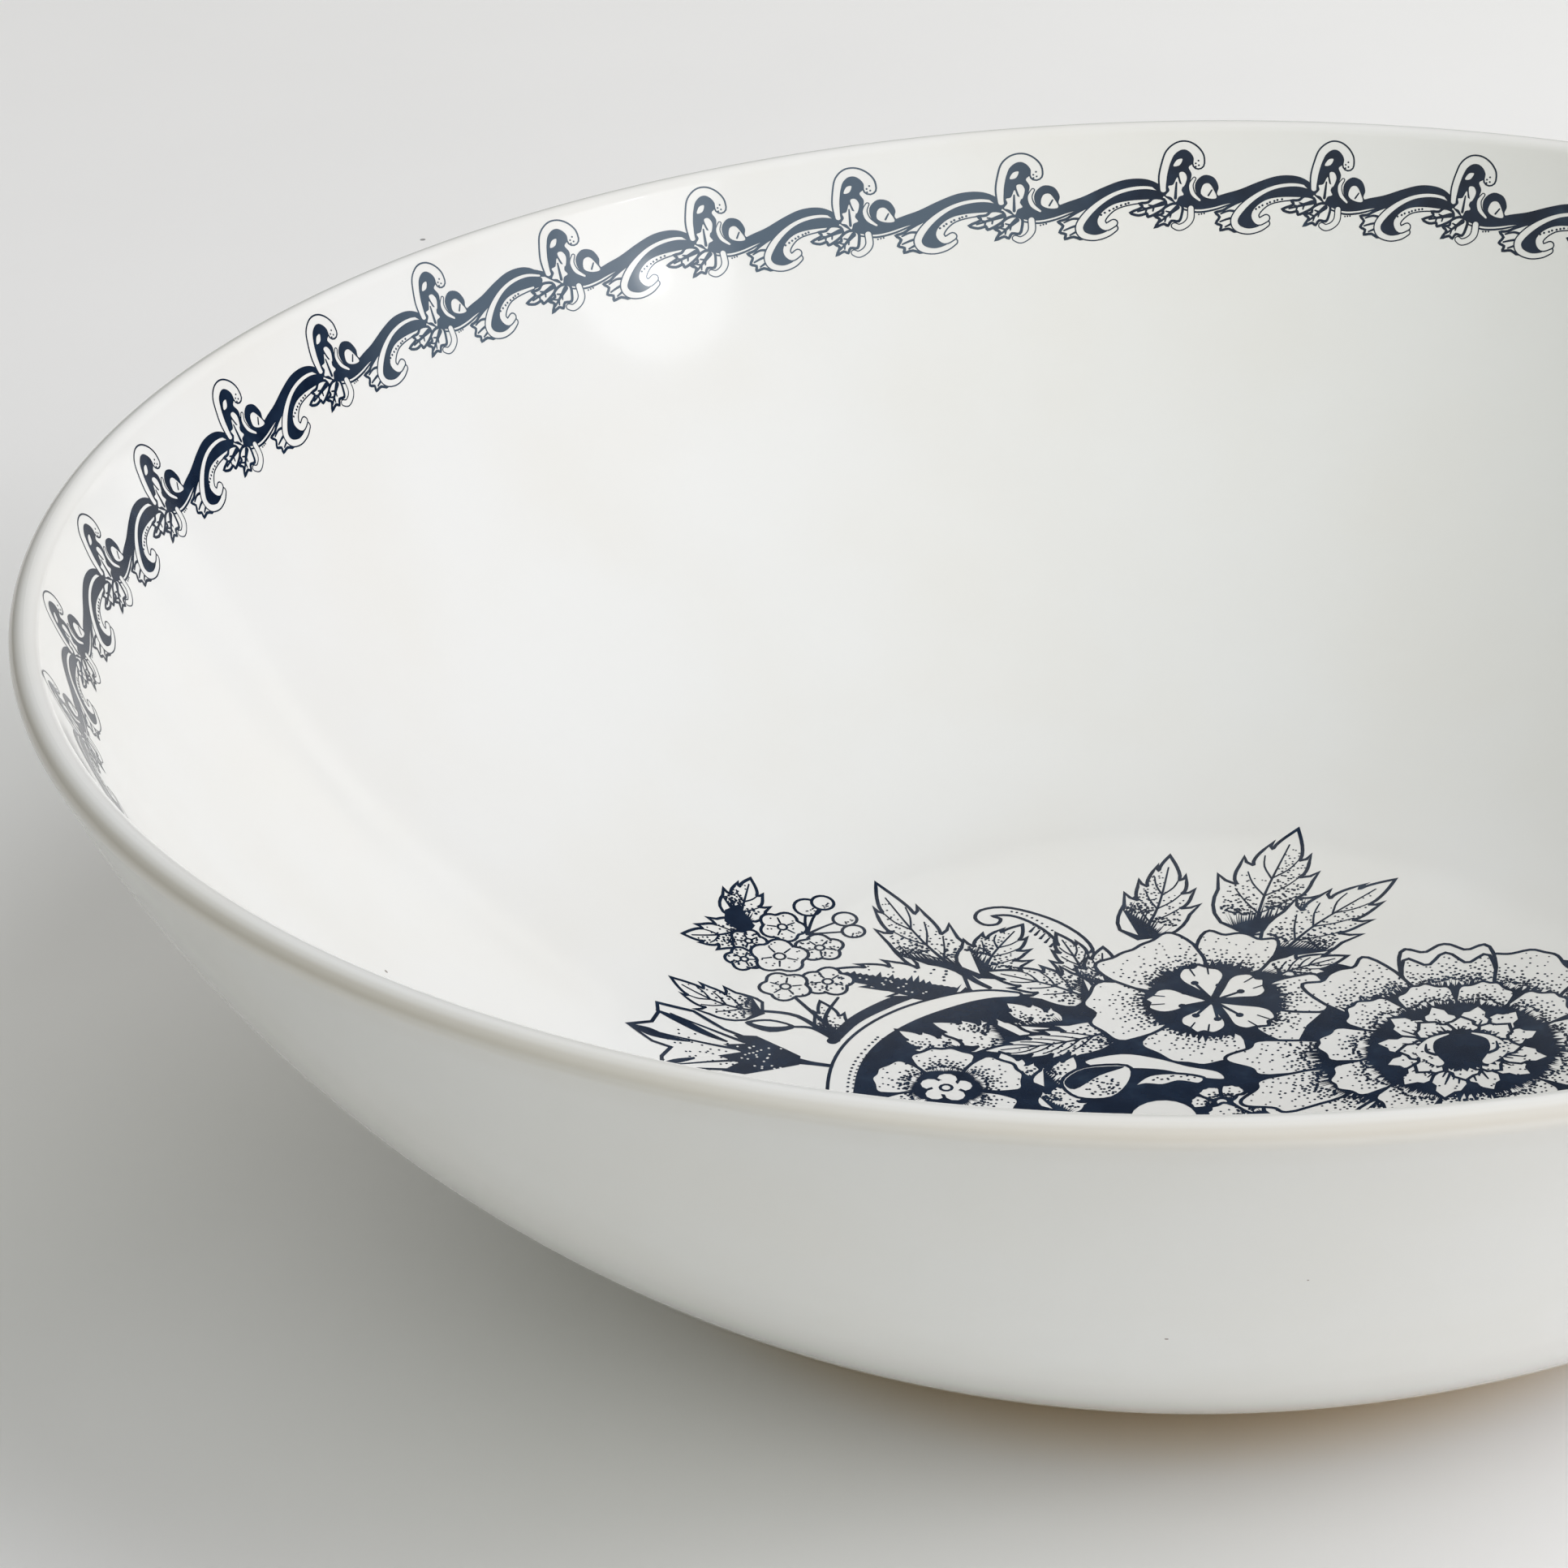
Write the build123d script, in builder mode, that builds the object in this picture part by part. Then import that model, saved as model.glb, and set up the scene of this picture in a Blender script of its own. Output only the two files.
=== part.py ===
from build123d import *
from math import asin, atan2, cos, degrees, hypot, radians, sin, sqrt
import os

# Porcelain serving bowl, mm. +Z is up, the bowl stands on Z = 0 and turns about the Z axis.

# ---- driving dimensions ----
rim_radius = 145.0  # widest radius, at the lip
height = 92.0  # from the table to the lip's crest
lip_radius = 2.0  # full round of the lip, half the wall's thickness there
wall_centre_z = 147.7  # height of the centre that the wall's inside turns about
outer_centre_z = 146.1  # the same for the outside; lower, so the wall thickens downwards
well_floor_z = 9.0  # lowest point of the inside
well_floor_radius = 700.0  # dish radius of the well's floor
well_blend_radius = 45.0  # arc between the well's floor and the wall
glaze = 0.35  # coat thickness
foot_radius = 56.6  # outside of the foot ring
foot_inner_radius = 51.2  # inside of the foot ring
foot_fillet = 0.3  # arc between the foot ring and the wall
foot_edge = 0.5  # rounding of the unglazed resting edge
recess_z = 3.5  # height of the glazed underside inside the foot ring
recess_fillet = 1.5
film = 0.15  # thickness of a printed transfer
border_top = 0.8  # transfer border, distance from the lip along the wall
border_width = 15.6
border_units = 37  # scroll motifs round the bowl
strip_units = (9, 9, 10, 9)  # motifs on each border strip
strip_joint = 133.5  # where the first two strips meet, degrees
strip_gap = 0.2  # bare glaze between strips, degrees

# ---- derived construction ----
lip_x = rim_radius - lip_radius
lip_z = height - lip_radius
lip_to_inner = hypot(lip_x, wall_centre_z - lip_z)
lip_to_outer = hypot(lip_x, outer_centre_z - lip_z)
inner_radius = lip_to_inner - lip_radius
outer_radius = lip_to_outer + lip_radius
wall_centre = (0, wall_centre_z)
outer_centre = (0, outer_centre_z)
lip_centre = (lip_x, lip_z)
floor_centre = (0, well_floor_z + well_floor_radius)
wall_end = degrees(asin(lip_x / lip_to_inner)) - 90
outer_end = degrees(asin(lip_x / lip_to_outer)) - 90

# Blend circle that touches the well's floor and the wall from inside.
blend_to_wall = inner_radius - well_blend_radius
blend_to_floor = well_floor_radius - well_blend_radius
centre_gap = floor_centre[1] - wall_centre_z
blend_z = (
    floor_centre[1] ** 2 - wall_centre_z**2 - blend_to_floor**2 + blend_to_wall**2
) / (2 * centre_gap)
blend_x = sqrt(blend_to_wall**2 - (wall_centre_z - blend_z) ** 2)
blend_centre = (blend_x, blend_z)
blend_low = degrees(asin(blend_x / blend_to_floor)) - 90
blend_high = degrees(atan2(blend_x, wall_centre_z - blend_z)) - 90

# Fillet circle that touches the foot ring and the wall from outside.
fillet_x = foot_radius + foot_fillet
fillet_z = outer_centre_z - sqrt((outer_radius + foot_fillet) ** 2 - fillet_x**2)
fillet_centre = (fillet_x, fillet_z)
fillet_turn = degrees(atan2(outer_centre_z - fillet_z, fillet_x))


def on_circle(centre, radius, angle):
    return (
        centre[0] + radius * cos(radians(angle)),
        centre[1] + radius * sin(radians(angle)),
    )


def inside_line(depth):
    """Inside of the bowl from the axis to the lip's crest, depth below the glaze."""
    CenterArc(floor_centre, well_floor_radius + depth, -90, blend_low + 90)
    CenterArc(
        blend_centre, well_blend_radius + depth, blend_low, blend_high - blend_low
    )
    CenterArc(wall_centre, inner_radius + depth, blend_high, wall_end - blend_high)
    CenterArc(lip_centre, lip_radius - depth, 90, wall_end + 90)


def outside_line(depth):
    """Outside of the bowl from the lip's crest to the foot ring's resting edge."""
    CenterArc(lip_centre, lip_radius - depth, outer_end, 90 - outer_end)
    CenterArc(outer_centre, outer_radius - depth, -fillet_turn, outer_end + fillet_turn)
    CenterArc(fillet_centre, foot_fillet + depth, 180 - fillet_turn, fillet_turn)
    Line((foot_radius - depth, fillet_z), (foot_radius - depth, foot_edge))


def recess_line(depth):
    """Underside inside the foot ring, from the resting edge to the axis."""
    side = foot_inner_radius + depth
    corner = (foot_inner_radius - recess_fillet, recess_z - recess_fillet)
    Line((side, foot_edge), (side, corner[1]))
    CenterArc(corner, recess_fillet + depth, 0, 90)
    Line((corner[0], recess_z + depth), (0, recess_z + depth))


# ---- bowl body: one fired porcelain piece with its foot ring ----
foot_flat_out = foot_radius - glaze - foot_edge
foot_flat_in = foot_inner_radius + glaze + foot_edge
with BuildPart() as bowl_body:
    with BuildSketch(Plane.XZ):
        with BuildLine():
            inside_line(glaze)
            outside_line(glaze)
            CenterArc((foot_flat_out, foot_edge), foot_edge, -90, 90)
            Line((foot_flat_out, 0), (foot_flat_in, 0))
            CenterArc((foot_flat_in, foot_edge), foot_edge, 180, 90)
            recess_line(glaze)
            Line((0, recess_z + glaze), (0, well_floor_z - glaze))
        make_face()
    revolve(axis=Axis.Z)
bowl_body.part.label = "bowl_body"

# ---- interior glaze: from the well up to the lip's crest ----
with BuildPart() as interior_glaze:
    with BuildSketch(Plane.XZ):
        with BuildLine():
            inside_line(0)
            inside_line(glaze)
            Line((0, well_floor_z), (0, well_floor_z - glaze))
            Line((lip_x, height), (lip_x, height - glaze))
        make_face()
    revolve(axis=Axis.Z)
interior_glaze.part.label = "interior_glaze"

# ---- exterior glaze: from the lip's crest down to the resting edge ----
with BuildPart() as exterior_glaze:
    with BuildSketch(Plane.XZ):
        with BuildLine():
            outside_line(0)
            outside_line(glaze)
            Line((lip_x, height), (lip_x, height - glaze))
            Line((foot_radius, foot_edge), (foot_radius - glaze, foot_edge))
        make_face()
    revolve(axis=Axis.Z)
exterior_glaze.part.label = "exterior_glaze"

# ---- foot recess glaze: the underside inside the foot ring ----
with BuildPart() as foot_recess_glaze:
    with BuildSketch(Plane.XZ):
        with BuildLine():
            recess_line(0)
            recess_line(glaze)
            Line((0, recess_z), (0, recess_z + glaze))
            Line((foot_inner_radius, foot_edge), (foot_inner_radius + glaze, foot_edge))
        make_face()
    revolve(axis=Axis.Z)
foot_recess_glaze.part.label = "foot_recess_glaze"

# ---- border transfers: four strips end to end round the inside, under the lip ----
border_high = wall_end - degrees(border_top / inner_radius)
border_low = border_high - degrees(border_width / inner_radius)
film_face = inner_radius - film
unit_angle = 360 / border_units
strips = []
strip_end = strip_joint
for name, units in zip("abcd", strip_units):
    strip_start = strip_end - units * unit_angle
    turn = radians(strip_start + strip_gap / 2)
    strip_plane = Plane(
        origin=(0, 0, 0), x_dir=(cos(turn), sin(turn), 0), z_dir=(sin(turn), -cos(turn), 0)
    )
    with BuildPart() as border_transfer:
        with BuildSketch(strip_plane):
            with BuildLine():
                CenterArc(wall_centre, inner_radius, border_low, border_high - border_low)
                CenterArc(wall_centre, film_face, border_low, border_high - border_low)
                for edge in (border_low, border_high):
                    Line(
                        on_circle(wall_centre, inner_radius, edge),
                        on_circle(wall_centre, film_face, edge),
                    )
            make_face()
        revolve(axis=Axis.Z, revolution_arc=units * unit_angle - strip_gap)
    border_transfer.part.label = "border_transfer_" + name
    strips.append(border_transfer.part)
    strip_end = strip_start

# ---- bouquet transfer: one film over the well, cut round the flowers ----
bouquet_outline = [
    (-77, -2),
    (-72, 28),
    (-56, 47),
    (-36, 49),
    (-10, 58),
    (16, 67),
    (38, 54),
    (60, 42),
    (78, 22),
    (81, -4),
    (66, -30),
    (40, -52),
    (6, -62),
    (-30, -55),
    (-60, -36),
]
film_edge = -55.0  # where the film ends on the wall, beyond the outline, degrees
with BuildPart() as bouquet_transfer:
    with BuildSketch(Plane.XZ):
        with BuildLine():
            for lift in (0, film):
                CenterArc(floor_centre, well_floor_radius - lift, -90, blend_low + 90)
                CenterArc(
                    blend_centre,
                    well_blend_radius - lift,
                    blend_low,
                    blend_high - blend_low,
                )
                CenterArc(
                    wall_centre, inner_radius - lift, blend_high, film_edge - blend_high
                )
            Line((0, well_floor_z), (0, well_floor_z + film))
            Line(
                on_circle(wall_centre, inner_radius, film_edge),
                on_circle(wall_centre, film_face, film_edge),
            )
        make_face()
    revolve(axis=Axis.Z)
    with BuildSketch(Plane.XY):
        with BuildLine():
            Spline(*bouquet_outline, periodic=True)
        make_face()
    extrude(amount=height, mode=Mode.INTERSECT)
bouquet_transfer.part.label = "bouquet_transfer"

# ---- export ----
pieces = [
    bowl_body.part,
    interior_glaze.part,
    exterior_glaze.part,
    foot_recess_glaze.part,
    *strips,
    bouquet_transfer.part,
]
os.makedirs("parts", exist_ok=True)
for piece in pieces:
    export_step(piece, "parts/" + piece.label + ".step")
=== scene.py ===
import math
import random

import bpy
import numpy as np
from mathutils import Matrix, Vector
from mathutils.geometry import delaunay_2d_cdt


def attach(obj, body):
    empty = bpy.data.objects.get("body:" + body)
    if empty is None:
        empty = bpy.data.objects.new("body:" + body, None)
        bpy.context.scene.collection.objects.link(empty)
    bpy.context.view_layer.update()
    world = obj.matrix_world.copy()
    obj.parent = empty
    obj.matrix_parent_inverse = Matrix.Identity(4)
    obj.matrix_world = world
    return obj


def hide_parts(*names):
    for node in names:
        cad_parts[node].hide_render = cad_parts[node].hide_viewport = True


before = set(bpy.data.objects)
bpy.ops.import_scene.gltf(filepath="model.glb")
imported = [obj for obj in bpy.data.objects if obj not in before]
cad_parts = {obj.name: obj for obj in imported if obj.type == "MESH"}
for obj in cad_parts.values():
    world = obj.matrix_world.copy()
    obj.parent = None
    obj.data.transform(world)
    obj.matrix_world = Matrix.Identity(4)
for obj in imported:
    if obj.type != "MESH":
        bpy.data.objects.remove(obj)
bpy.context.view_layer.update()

MM = 0.001

# ---- bowl profile, mm ----
RIM = 145.0
HEIGHT = 92.0
LIP = 2.0
WALL_Z = 147.7
OUT_Z = 146.1
FLOOR_Z = 9.0
FLOOR_R = 700.0
BLEND_R = 45.0
GLAZE = 0.35
FOOT_R = 56.6
FOOT_IN = 51.2
FOOT_FILLET = 0.3
FOOT_EDGE = 0.5
RECESS_Z = 3.5
RECESS_FILLET = 1.5
SEGMENTS = 512

LIP_X = RIM - LIP
LIP_Z = HEIGHT - LIP
MID = math.hypot(LIP_X, WALL_Z - LIP_Z)
INNER = MID - LIP
OUT_MID = math.hypot(LIP_X, OUT_Z - LIP_Z)
OUTER = OUT_MID + LIP
TILT_LIP = math.asin(LIP_X / MID)
TILT_OUT = math.asin(LIP_X / OUT_MID)
A_WALL = INNER - BLEND_R
A_FLOOR = FLOOR_R - BLEND_R
GAP = FLOOR_Z + FLOOR_R - WALL_Z
BLEND_Z = ((FLOOR_Z + FLOOR_R) ** 2 - WALL_Z**2 - A_FLOOR**2 + A_WALL**2) / (2 * GAP)
BLEND_X = math.sqrt(A_WALL**2 - (WALL_Z - BLEND_Z) ** 2)
TILT_LOW = math.asin(BLEND_X / A_FLOOR)
TILT_HIGH = math.atan2(BLEND_X, WALL_Z - BLEND_Z)
S_FLOOR = FLOOR_R * TILT_LOW
S_BLEND = S_FLOOR + BLEND_R * (TILT_HIGH - TILT_LOW)
S_WALL = S_BLEND + INNER * (TILT_LIP - TILT_HIGH)


def arc(centre, radius, start, end, step):
    """Points of an arc, angles in radians, about step mm apart."""
    n = max(2, math.ceil(abs(end - start) * abs(radius) / step))
    return [
        (
            centre[0] + radius * math.cos(start + (end - start) * i / n),
            centre[1] + radius * math.sin(start + (end - start) * i / n),
        )
        for i in range(n + 1)
    ]


DOWN = -math.pi / 2


def inside(depth, step):
    """Outline of the inside from the axis to the lip's crest, depth mm under the surface."""
    return (
        arc((0, FLOOR_Z + FLOOR_R), FLOOR_R + depth, DOWN, DOWN + TILT_LOW, step)
        + arc((BLEND_X, BLEND_Z), BLEND_R + depth, DOWN + TILT_LOW, DOWN + TILT_HIGH, step)
        + arc((0, WALL_Z), INNER + depth, DOWN + TILT_HIGH, DOWN + TILT_LIP, step)
        + arc((LIP_X, LIP_Z), LIP - depth, DOWN + TILT_LIP + math.pi, -DOWN, step / 8)
    )


FILLET_X = FOOT_R + FOOT_FILLET
FILLET_Z = OUT_Z - math.sqrt((OUTER + FOOT_FILLET) ** 2 - FILLET_X**2)
FILLET_TURN = math.atan2(OUT_Z - FILLET_Z, FILLET_X)


def outside(depth, step):
    """Outline of the outside from the lip's crest down to the foot ring."""
    return (
        arc((LIP_X, LIP_Z), LIP - depth, -DOWN, DOWN + TILT_OUT, step / 8)
        + arc((0, OUT_Z), OUTER - depth, DOWN + TILT_OUT, -FILLET_TURN, step)
        + arc((FILLET_X, FILLET_Z), FOOT_FILLET + depth, math.pi - FILLET_TURN, math.pi, step / 4)
        + [(FOOT_R - depth, FOOT_EDGE)]
    )


def recess(depth, step):
    """Outline of the underside from the foot ring in to the axis."""
    corner = (FOOT_IN - RECESS_FILLET, RECESS_Z - RECESS_FILLET)
    return (
        [(FOOT_IN + depth, FOOT_EDGE)]
        + arc(corner, RECESS_FILLET + depth, 0, math.pi / 2, step / 4)
        + [(x, RECESS_Z + depth) for x in (40, 20, 0)]
    )


def tidy(points):
    """The same outline without points that repeat."""
    kept = []
    for p in points:
        if not kept or math.dist(p, kept[-1]) > 1e-6:
            kept.append((max(p[0], 0.0), p[1]))
    return kept


def lathe(name, outline, smooth_angle=35):
    """A closed outline of (r, z) in mm, turned about Z."""
    outline = tidy(outline)
    if math.dist(outline[0], outline[-1]) < 1e-6:
        outline = outline[:-1]
    verts, rings = [], []
    for r, z in outline:
        if r < 1e-6:
            rings.append([len(verts)])
            verts.append((0, 0, z * MM))
            continue
        rings.append(list(range(len(verts), len(verts) + SEGMENTS)))
        for i in range(SEGMENTS):
            a = 2 * math.pi * i / SEGMENTS
            verts.append((r * MM * math.cos(a), r * MM * math.sin(a), z * MM))
    faces = []
    for lower, upper in zip(rings, rings[1:] + rings[:1]):
        for i in range(SEGMENTS):
            j = (i + 1) % SEGMENTS
            corners = [lower[i % len(lower)], lower[j % len(lower)]]
            corners += [upper[j % len(upper)], upper[i % len(upper)]]
            ring = list(dict.fromkeys(corners))
            if len(ring) > 2:
                faces.append(ring)
    mesh = bpy.data.meshes.new(name)
    mesh.from_pydata(verts, [], faces)
    mesh.validate()
    for p in mesh.polygons:
        p.use_smooth = True
    mesh.set_sharp_from_angle(angle=math.radians(smooth_angle))
    piece = bpy.data.objects.new(name, mesh)
    bpy.context.collection.objects.link(piece)
    return piece


# ---- materials ----
def node_material(name, base, roughness, **sockets):
    """A glossy or matt material whose nodes are then built up by its own function."""
    m = bpy.data.materials.new(name)
    m.use_nodes = True
    shader = m.node_tree.nodes["Principled BSDF"]
    shader.inputs["Base Color"].default_value = (*base, 1)
    shader.inputs["Roughness"].default_value = roughness
    for key, value in sockets.items():
        shader.inputs[key.replace("_", " ")].default_value = value
    return m, shader, m.node_tree


def place_in(tree):
    """Position in object space, metres."""
    return tree.nodes.new("ShaderNodeTexCoord").outputs["Object"]


def height_in(tree):
    split = tree.nodes.new("ShaderNodeSeparateXYZ")
    tree.links.new(place_in(tree), split.inputs["Vector"])
    return split.outputs["Z"]


def noise(tree, scale, detail=2.0):
    """A noise value, scale in cycles per metre."""
    n = tree.nodes.new("ShaderNodeTexNoise")
    n.inputs["Scale"].default_value = scale
    n.inputs["Detail"].default_value = detail
    tree.links.new(place_in(tree), n.inputs["Vector"])
    return n.outputs["Fac"]


def ramp(tree, value, stops, smooth=False):
    """A colour ramp over a value; stops are (position, colour)."""
    r = tree.nodes.new("ShaderNodeValToRGB")
    r.color_ramp.interpolation = "EASE" if smooth else "LINEAR"
    elements = r.color_ramp.elements
    while len(elements) < len(stops):
        elements.new(0.5)
    for e, (at, colour) in zip(elements, stops):
        e.position = at
        e.color = (*colour, 1)
    tree.links.new(value, r.inputs["Fac"])
    return r.outputs["Color"]


def level(tree, value, stops):
    """An eased curve over a value; stops are (position, level)."""
    return ramp(tree, value, [(at, (v, v, v)) for at, v in stops], True)


def span(tree, value, start, end):
    """How far a length is on its way from start to end mm, held between 0 and 1."""
    m = tree.nodes.new("ShaderNodeMapRange")
    m.inputs["From Min"].default_value = start * MM
    m.inputs["From Max"].default_value = end * MM
    tree.links.new(value, m.inputs["Value"])
    return m.outputs["Result"]


def calc(tree, operation, a, b):
    """A maths node over sockets or plain numbers."""
    m = tree.nodes.new("ShaderNodeMath")
    m.operation = operation
    for socket, value in zip(m.inputs, (a, b)):
        if isinstance(value, (int, float)):
            socket.default_value = value
        else:
            tree.links.new(value, socket)
    return m.outputs["Value"]


def vector_calc(tree, operation, a, b=(0, 0, 0)):
    """A vector maths node over a socket and a plain vector."""
    m = tree.nodes.new("ShaderNodeVectorMath")
    m.operation = operation
    m.inputs[1].default_value = b
    tree.links.new(a, m.inputs[0])
    return m.outputs["Value" if operation in ("DOT_PRODUCT", "LENGTH") else "Vector"]


def blend(tree, amount, a, b, mode="MIX"):
    """Two colours mixed by an amount between 0 and 1."""
    m = tree.nodes.new("ShaderNodeMix")
    m.data_type = "RGBA"
    m.blend_type = mode
    for key, value in ((0, amount), (6, a), (7, b)):
        if isinstance(value, float):
            m.inputs[key].default_value = value
        elif isinstance(value, tuple):
            m.inputs[key].default_value = (*value, 1)
        else:
            tree.links.new(value, m.inputs[key])
    return m.outputs[2]


def relief(tree, shader, height, strength, depth):
    """A bumped surface, depth in mm."""
    bump = tree.nodes.new("ShaderNodeBump")
    bump.inputs["Strength"].default_value = strength
    bump.inputs["Distance"].default_value = depth * MM
    tree.links.new(height, bump.inputs["Height"])
    tree.links.new(bump.outputs["Normal"], shader.inputs["Normal"])


def specks(tree, scale, share):
    """1 in tiny scattered specks, scale cells per metre and a share of them taken; 0 elsewhere."""
    cells = tree.nodes.new("ShaderNodeTexVoronoi")
    cells.inputs["Scale"].default_value = scale
    tree.links.new(place_in(tree), cells.inputs["Vector"])
    pick = tree.nodes.new("ShaderNodeSeparateColor")
    tree.links.new(cells.outputs["Color"], pick.inputs["Color"])
    near = calc(tree, "LESS_THAN", cells.outputs["Distance"], SPECK_SIZE)
    return calc(tree, "MULTIPLY", near, calc(tree, "GREATER_THAN", pick.outputs["Red"], 1 - share))


def heading(azimuth, elevation=0.0):
    """Unit vector, azimuth from +X towards +Y, both in degrees."""
    a, e = math.radians(azimuth), math.radians(elevation)
    return Vector((math.cos(a) * math.cos(e), math.sin(a) * math.cos(e), math.sin(e)))


GLAZE_WHITE = (0.815, 0.82, 0.80)
GLAZE_CREAM = (0.80, 0.797, 0.762)
# Lip band tan: partly glaze run thinner, partly painted shade under the lip's outer curve.
LIP_TAN_AND_SHADE = (0.58, 0.535, 0.46)
# Painted shade: grey mixed into the upper outer wall.
WALL_SHADE_GREY = (0.60, 0.60, 0.58)
# Painted contact shade: dark tan on the glaze just above the foot.
FOOT_SHADE_TAN = (0.40, 0.31, 0.19)
SPECK = (0.30, 0.27, 0.24)
SPECK_SIZE = 0.016
# Heights on the bowl, mm: where the lip band starts (glaze run thinner, and painted shade), where the painted
# grey shade starts, how far the painted grey shade stays off the lip's crest, and how far up the painted tan
# shade above the foot reaches.
THIN_AND_SHADE_LOW = 86.0
SHADE_GREY_LOW = 45.0
SHADE_GREY_OFF_CREST = 3.0
FOOT_SHADE_TOP = 13.0
THIN_AND_SHADE_STOPS = ((0.0, 0.0), (0.5, 0.1), (0.67, 0.4), (0.8, 0.68), (0.9, 0.58), (0.97, 0.2), (1.0, 0.0))


def glaze_material(name, shade_and_thin_glaze):
    """White glaze. The last argument sets how strongly three tones show: the lip's tan, partly glaze run
    thinner and partly painted shade; painted grey shade on the upper wall; and painted tan shade above the
    foot.
    """
    m, shader, tree = node_material(name, GLAZE_WHITE, 0.1, IOR=1.5)
    z = height_in(tree)
    cloud = ramp(tree, noise(tree, 22, 3), ((0.35, GLAZE_WHITE), (0.7, GLAZE_CREAM)), True)
    # Painted shade: the wall turns grey from halfway up towards the lip, kept off the crest; strong only
    # outside.
    off_crest = span(tree, z, HEIGHT, HEIGHT - SHADE_GREY_OFF_CREST)
    painted_grey_shade = calc(tree, "MULTIPLY", span(tree, z, SHADE_GREY_LOW, HEIGHT), off_crest)
    colour = blend(tree, calc(tree, "MULTIPLY", painted_grey_shade, 0.5 * shade_and_thin_glaze), cloud, WALL_SHADE_GREY)
    # Lip band, patchy: tan of glaze run thinner, and painted shade.
    patchy = calc(tree, "ADD", calc(tree, "MULTIPLY", noise(tree, 14), 0.9), 0.5)
    thin_glaze_and_shade = calc(tree, "MULTIPLY", level(tree, span(tree, z, THIN_AND_SHADE_LOW, HEIGHT), THIN_AND_SHADE_STOPS), patchy)
    thin_glaze_and_shade = calc(tree, "MINIMUM", calc(tree, "MULTIPLY", thin_glaze_and_shade, shade_and_thin_glaze), 1.0)
    colour = blend(tree, thin_glaze_and_shade, colour, LIP_TAN_AND_SHADE)
    # Painted contact shade: tan on the glaze above the foot, darkening and warming the shade under the bowl.
    near_foot = calc(tree, "MULTIPLY", span(tree, z, FOOT_SHADE_TOP, 0), 1.6 * shade_and_thin_glaze)
    colour = blend(tree, calc(tree, "MINIMUM", near_foot, 1.0), colour, FOOT_SHADE_TAN)
    colour = blend(tree, specks(tree, 60, 0.45), colour, SPECK)
    tree.links.new(colour, shader.inputs["Base Color"])
    polish = calc(tree, "ADD", calc(tree, "MULTIPLY", noise(tree, 35), 0.07), 0.06)
    tree.links.new(polish, shader.inputs["Roughness"])
    relief(tree, shader, noise(tree, 70, 1), 0.12, 0.4)
    return m


def biscuit_material():
    """Unglazed ware: fine tooth and faint iron bloom."""
    m, shader, tree = node_material("biscuit", (0.8, 0.76, 0.68), 0.62)
    body = ramp(tree, noise(tree, 140, 6), ((0.3, (0.84, 0.81, 0.74)), (0.75, (0.74, 0.68, 0.58))))
    tree.links.new(body, shader.inputs["Base Color"])
    relief(tree, shader, noise(tree, 1800, 2), 0.4, 0.2)
    return m


INK = (0.011, 0.022, 0.046)
INK_DEEP = (0.006, 0.013, 0.030)
INK_THIN = (0.026, 0.048, 0.082)
INK_PALE = (0.10, 0.135, 0.175)
# The border's ink is paler round this azimuth, where the glare lies: partly paler print, partly painted glare
# reflection; by the cosine of the angle to it, and above this height.
GLARE_SIDE = 122
PALE_STOPS = ((0.87, 0.0), (0.96, 0.9), (1.0, 1.0))
PALE_ABOVE = 70


def ink_material():
    """Cobalt navy under the gloss, uneven in density; one stretch of the border paler, partly as paler print
    and partly as painted glare reflection.
    """
    m, shader, tree = node_material("ink", INK, 0.1, IOR=1.4)
    density = ramp(tree, noise(tree, 260, 3), ((0.3, INK_DEEP), (0.6, INK), (0.85, INK_THIN)))
    outwards = vector_calc(tree, "NORMALIZE", vector_calc(tree, "MULTIPLY", place_in(tree), (1, 1, 0)))
    # Paler ink round the glare: partly paler print, partly painted glare reflection.
    pale_print_and_glare = level(tree, vector_calc(tree, "DOT_PRODUCT", outwards, heading(GLARE_SIDE)), PALE_STOPS)
    on_border = calc(tree, "GREATER_THAN", height_in(tree), PALE_ABOVE * MM)
    colour = blend(tree, calc(tree, "MULTIPLY", pale_print_and_glare, on_border), density, INK_PALE)
    tree.links.new(colour, shader.inputs["Base Color"])
    return m


inner_glaze = glaze_material("glaze inside", 0.08)
outer_glaze = glaze_material("glaze outside", 0.95)
foot_glaze = glaze_material("glaze foot", 0.0)
biscuit_mat = biscuit_material()
ink_mat = ink_material()


def place(piece, node, material):
    """Gives a piece its material, hangs it under the root body and hides the CAD node it stands in for."""
    piece.data.materials.append(material)
    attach(piece, "root")
    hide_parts(node)


# ---- ware; seen faces are cut finely, buried ones coarsely ----
fine, coarse = 2.0, 8.0
foot_out = FOOT_R - GLAZE - FOOT_EDGE
foot_in = FOOT_IN + GLAZE + FOOT_EDGE
foot = arc((foot_out, FOOT_EDGE), FOOT_EDGE, 0, DOWN, 0.3)
foot += arc((foot_in, FOOT_EDGE), FOOT_EDGE, DOWN, -math.pi, 0.3)
place(
    lathe(
        "bowl_body_look",
        inside(GLAZE, coarse) + outside(GLAZE, coarse) + foot + recess(GLAZE, coarse),
    ),
    "bowl_body", biscuit_mat,
)
place(
    lathe("interior_glaze_look", inside(0, fine) + inside(GLAZE, coarse)[::-1]),
    "interior_glaze", inner_glaze,
)
place(
    lathe("exterior_glaze_look", outside(0, fine) + outside(GLAZE, coarse)[::-1]),
    "exterior_glaze", outer_glaze,
)
place(
    lathe("foot_recess_glaze_look", recess(0, coarse) + recess(GLAZE, coarse)[::-1]),
    "foot_recess_glaze", foot_glaze,
)


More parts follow.
